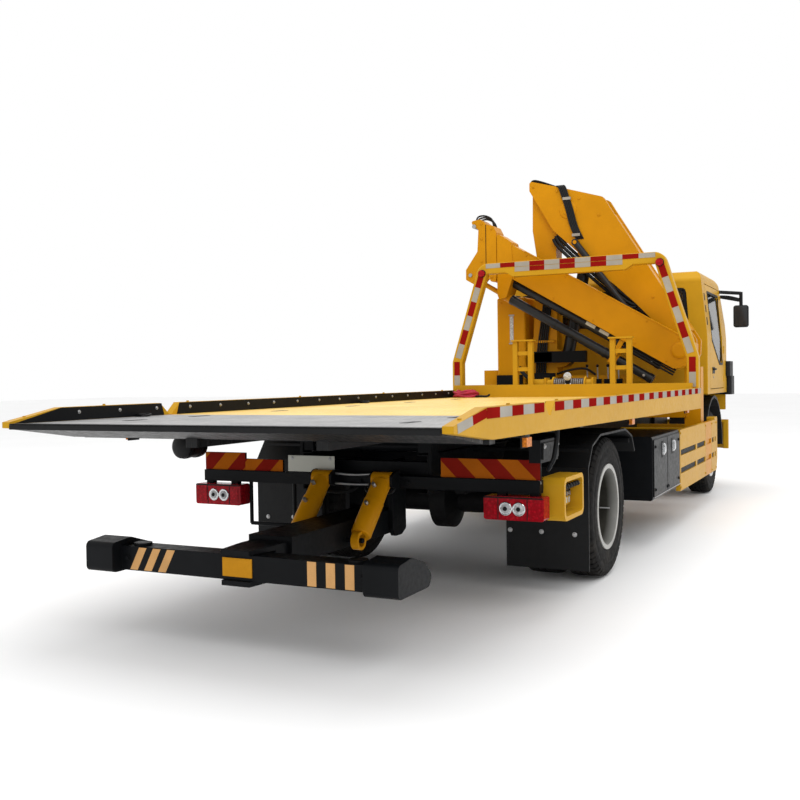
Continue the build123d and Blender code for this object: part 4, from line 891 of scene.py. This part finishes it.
# Dark valve banks with their hoses before the crane base
for y0, y1, z0, z1 in ((690, 985, 1180, 1345), (330, 620, 1200, 1360)):
    column.box(BANK_FACE, BANK_FACE + 39, y0, y1, z0, z1, "black")
    for k in range(5):
        y = y0 + 35 + k * (y1 - y0 - 70) / 4
        column.rod((BANK_FACE + 2, y, z0 + 40), (BANK_FACE - 18, y, z0 + 40), 14, "bolt_zinc", 10)
        drop = ((-16, 0, 40), (-44, 0, 10), (-34, 12, -60), (20, 24, -110))
        column.tube([(BANK_FACE + s, y + o, z0 + z) for s, o, z in drop], 10, "hose", 10)
# Dark cross beam at the foot of the column
column.box(BANK_FACE - 30, BANK_FACE + 105, 350, 560, 1480, 1580, "black")
column.box(BANK_FACE - 30, BANK_FACE + 40, -17, 586, 1470, 1590, "black")
column.done()

arm = Kit("outer boom trim", "outer")
for along in (60, 420, 900, 1380, 1860):
    for above in (-150, 100):
        arm.bolt((OUTER_FACE, *outer(along, above)), BACKWARD, 8, "gold", 5)
for above in (128, -178):
    a = (OUTER_FACE, *outer(-40, above))
    b = (OUTER_FACE, *outer(1900, above))
    arm.patch(a, b, OUTER_UP, BACKWARD, 10, 4, "gold")
# Extension rams, as (below the boom, end of the barrel): barrel, bands, closed end, foot and port
for off, end in ((48, 1900), (212, 1820)):
    level = OUTER_UNDER - off
    for start, stop, r, sides in ((572, end, 47.5, 32), (640, 676, 52, 28), (1250, 1286, 52, 28),
                                  (end - 40, end - 4, 52, 28), (118, 506, 46, 32), (100, 150, 51, 28)):
        arm.rod((OUTER_S, *outer(start, level)), (OUTER_S, *outer(stop, level)), r, "ram_band", sides)
    port = outer(190, level)
    arm.rod((OUTER_S - 40, *port), (OUTER_S - 66, *port), 13, "bolt_zinc", 12)
for along in (700, 860):
    p = outer(along, -212)
    q = outer(along + 110, -212)
    arm.patch((OUTER_S - 48, *p), (OUTER_S - 48, *q), OUTER_UP, BACKWARD, 34, 2, "plate_blank")
for k in range(3):
    pts = [outer(x, -190 - 26 * k) for x in (-60, 60, 260, 480, 560)]
    bow = (-4, -20, -34, -20, -4)
    arm.tube([(OUTER_S - 60 + b, *p) for p, b in zip(pts, bow)], 10, "hose", 10)
arm.lathe([(-2, 78), (-12, 78), (-18, 66), (-18, 46)], (OUTER_FACE + 2, *KNUCKLE), ALONG, "gold", 36)
arm.done()

tip = Kit("extension trim", "extension")
for y, z in ((1120, 2970), (1030, 2960), (1030, 2560), (1180, 2440), (1110, 2360), (920, 2900), (920, 2390),
             (1030, 2800)):
    tip.bolt((OUTER_FACE, y, z), BACKWARD, 11, "gold", 6)
tip.box(OUTER_FACE - 3, OUTER_FACE + 1, 979, 985, 2420, 2945, "black")
for k in range(3):
    s = OUTER_S - 60 + 40 * k
    o = 14 * k
    tip.tube([(s, 910, 2930), (s, 935, 3010 - o), (s, 1010, 3050 - o), (s, 1085, 3045 - o), (s, 1110, 2995)],
             9, "hose", 10)
tip.rod((OUTER_S - 130, 1110, 2935), (OUTER_S + 130, 1110, 2935), 22, "bolt_zinc", 20)
tip.rod((OUTER_S - 128, 1160, 2420), (OUTER_S + 128, 1160, 2420), 20, "bolt_zinc", 20)
tip.done()

# Underlift trim
bar = Kit("crossbar trim", "crossbar")
# Film patches as (first edge, width, lean, bottom, top, thickness, film)
FILMS = [(y, -48, -60, 372, 486, 1.6, "bar_pale") for y in (665, 575, 485)]
FILMS += [(y, 48, 0, 372, 486, 1.6, "bar_pale") for y in (-440, -540, -640)]
FILMS += [(85, -170, 0, 384, 474, 5, "bar_amber")]
for y, wide, lean, z0, z1, thick, key in FILMS:
    edge = [(y, z0), (y + wide, z0), (y + wide + lean, z1), (y + lean, z1)]
    bar.prism([(CROSSBAR_FACE, a, b) for a, b in edge], (-thick, 0, 0), key)
for side in (1, -1):
    bar.lathe([(0, 46), (14, 46), (14, 26)], (SWIVEL, side * 630, 489), UP, "black", 28)
    for s in (SWIVEL - 90, SWIVEL + 120):
        bar.bolt((s, side * 870, 440), (0, side, 0), 13, "black")
    bar.bolt((CROSSBAR_FACE, side * 680, 430), BACKWARD, 12, "black")
bar.done()


def lift_line(side):
    """Top pin of a lift cylinder, and the way down to its lower pin."""
    top = Vector((RAIL_REAR - 135, side * 200, 745))
    low = Vector((RAIL_REAR - 440, side * 200, 440))
    return top, (low - top).normalized()


lift = Kit("lift barrels trim", "lift_barrels")
for side in (1, -1):
    top, d = lift_line(side)
    a = top + d * 250
    lift.rod(tuple(a), tuple(a + d * 22), 57, "gold", 36)
    n = Vector((-d.z, 0, d.x))
    n = n if n.z > 0 else -n
    for t in (95, 225):
        a = top + d * t
        lift.rod(tuple(a + n * 50), tuple(a + n * 82), 12, "bolt_zinc", 6)
lift.done()
cover = Kit("lift rod covers", "lift_rods")
for side in (1, -1):
    top, d = lift_line(side)
    sleeve = [(168, 56.5), (168, 58.5), (385, 58.5), (396, 52), (400, 30), (392, 30), (388, 50), (380, 56.5)]
    cover.lathe(sleeve, tuple(top), tuple(d), "gold", 40, closed=True)
cover.done()

# Cab trim
cab = Kit("cab trim", "cab")
for side in (1, -1):
    y = side * CAB_HALF
    for z0, z1 in ((1850, 1930), (1985, 2060), (2115, 2190)):
        s = CAB_BACK + 78
        a = y - side * (z0 - CAB_WAIST) * CAB_LEAN
        b = y - side * (z1 - CAB_WAIST) * CAB_LEAN
        cab.prism([(s, a, z0), (s + 46, a, z0), (s + 46, b, z1), (s, b, z1)], (0, side * 3, 0), "plastic")
    head_x = CAB_NOSE - 260
    cab.box(head_x - 49, head_x - 44, *span(side, CAB_HALF + 98, CAB_HALF + 242), 1885, 2115, "mirror_glass")
    cab.tube([(CAB_NOSE - 305, side * (CAB_HALF - 60), 2240), (CAB_NOSE - 290, side * (CAB_HALF + 40), 2230),
              (CAB_NOSE - 260, side * (CAB_HALF + 150), 2200)], 16, "plastic")
    cab.box(CAB_NOSE - 215, CAB_NOSE - 160, *span(side, CAB_HALF - 20, CAB_HALF + 46), 1330, 1450, "plastic")
seal = [(-930, 1868), (930, 1868), (900, 2232), (-900, 2232)]
for i in range(4):
    a = seal[i]
    b = seal[(i + 1) % 4]
    d = Vector((0, b[0] - a[0], b[1] - a[1])).normalized()
    cab.patch((CAB_BACK + 1, *a), (CAB_BACK + 1, *b), (0, -d.z, d.y), BACKWARD, 30, 5, "plastic")
for k in range(6):
    cab.box(CAB_NOSE - 2, CAB_NOSE + 5, -720, 720, 985 + k * 50, 1003 + k * 50, "plastic")
cab.box(CAB_NOSE - 2, CAB_NOSE + 4, -760, 760, 1290, 1330, "plastic")
for y in (-520, 60):
    cab.tube([(CAB_NOSE - 70, y, 1500), (CAB_NOSE - 76, y + 60, 1530), (CAB_NOSE - 196, y + 420, 1800)],
             8, "plastic", 10)
    cab.rod((CAB_NOSE - 66, y, 1490), (CAB_NOSE - 40, y, 1510), 16, "plastic", 16)
for side in (1, -1):
    cab.box(HEADLAMP_BACK, HEADLAMP_BACK + 14, *span(side, 885, 1090), 1190, 1350, "clear")
    cab.box(HEADLAMP_BACK, HEADLAMP_BACK + 16, *span(side, 880, 1095), 1182, 1190, "bolt_zinc")
    cab.box(HEADLAMP_BACK, HEADLAMP_BACK + 14, *span(side, 885, 1090), 1120, 1172, "amber")
for y in (-420, 0, 420):
    cab.box(CAB_BACK + 300, CAB_BACK + 420, y - 70, y + 70, 2428, 2446, "amber")
cab.done()
for name, side in (("left", 1), ("right", -1)):
    door = Kit("%s door trim" % name, "door_%s" % name)
    y = side * CAB_HALF
    door.box(4620, 4790, *span(side, CAB_HALF - 2, CAB_HALF + 3), 1330, 1400, "plastic")
    grip = ((4640, 2), (4660, 20), (4750, 20), (4770, 2))
    door.tube([(s, y + side * off, 1378) for s, off in grip], 11, "plastic", 12)
    door.rod((4700, y, 1290), (4700, y + side * 5, 1290), 14, "bolt_zinc", 20)
    # Window seal, which follows the lean of the cab's side
    outline = [(DOOR_BACK + 120, 1700), (DOOR_BACK + 120, 2215), (DOOR_FRONT - 90, 2215),
               (DOOR_FRONT - 90, 1440), (DOOR_FRONT - 330, 1440)]
    corners = [Vector((s, y - side * (max(0, z - CAB_WAIST) * CAB_LEAN + 1), z)) for s, z in outline]
    for i, pa in enumerate(corners):
        pb = corners[(i + 1) % len(corners)]
        lean = CAB_LEAN if min(pa.z, pb.z) >= CAB_WAIST else CAB_LEAN / 2
        n = Vector((0, side, lean)).normalized()
        door.patch(pa, pb, (pb - pa).normalized().cross(n), n, 26, 5, "plastic")
    door.done()
nose = Kit("bumper trim", "chassis")
for side in (1, -1):
    y = side * 820
    nose.lathe([(-6, 70), (6, 70), (9, 60), (9, 10)], (BUMPER_FACE, y, 640), ALONG, "clear", 28)
    nose.lathe([(-6, 78), (5, 78), (8, 72), (5, 68)], (BUMPER_FACE, y, 640), ALONG, "chrome", 28)
nose.box(BUMPER_FACE - 3, BUMPER_FACE + 3, -260, 260, 590, 690, "plate_blank")
nose.done()

# Stage
scene = bpy.context.scene
scene.view_settings.view_transform = "Standard"

bpy.ops.mesh.primitive_plane_add(size=FLOOR_SIZE, location=(0, 0, FLOOR_Z))
floor = bpy.context.object
floor.name = "floor"
floor_mat, tree, shader, coord = new_material("pale floor")
pale = ramp(tree, noise(tree, coord, 0.4), [(0.3, (0.92, 0.92, 0.92)), (0.7, (0.95, 0.95, 0.95))])
tree.links.new(pale, shader.inputs["Base Color"])
shader.inputs["Roughness"].default_value = 0.9
floor.data.materials.append(floor_mat)

world = bpy.data.worlds.new("studio")
scene.world = world
world.use_nodes = True
sky = world.node_tree.nodes["Background"]
sky.inputs["Color"].default_value = (1.0, 1.0, 1.0, 1)
sky.inputs["Strength"].default_value = 1.0


def area(name, place, target, size, power):
    """A soft lamp at a place, turned to a target."""
    light = bpy.data.lights.new(name, "AREA")
    light.energy = power
    light.size = size
    obj = bpy.data.objects.new(name, light)
    obj.location = place
    obj.rotation_euler = (Vector(target) - Vector(place)).to_track_quat("-Z", "Y").to_euler()
    scene.collection.objects.link(obj)


area("key", (-7, -7, 9), (0, 0, 1.2), 6, 250)
area("top", (0, 0, 10), (0, 0, 0), 9, 500)

# Camera at the photo's place
yaw = math.radians(CAMERA_YAW)
pitch = math.radians(CAMERA_PITCH)
roll = math.radians(CAMERA_ROLL)
ahead = Vector((math.cos(yaw) * math.cos(pitch), math.sin(yaw) * math.cos(pitch), math.sin(pitch)))
right = Vector((math.sin(yaw), -math.cos(yaw), 0))
up = right.cross(ahead)
right_r = math.cos(roll) * right + math.sin(roll) * up
up_r = -math.sin(roll) * right + math.cos(roll) * up
data = bpy.data.cameras.new("camera")
data.sensor_width = 36
data.lens = CAMERA_LENS
data.clip_end = 500
camera = bpy.data.objects.new("camera", data)
turn = Matrix((right_r, up_r, -ahead)).transposed()
camera.matrix_world = Matrix.Translation(at(*CAMERA_AT)) @ turn.to_4x4()
scene.collection.objects.link(camera)
scene.camera = camera
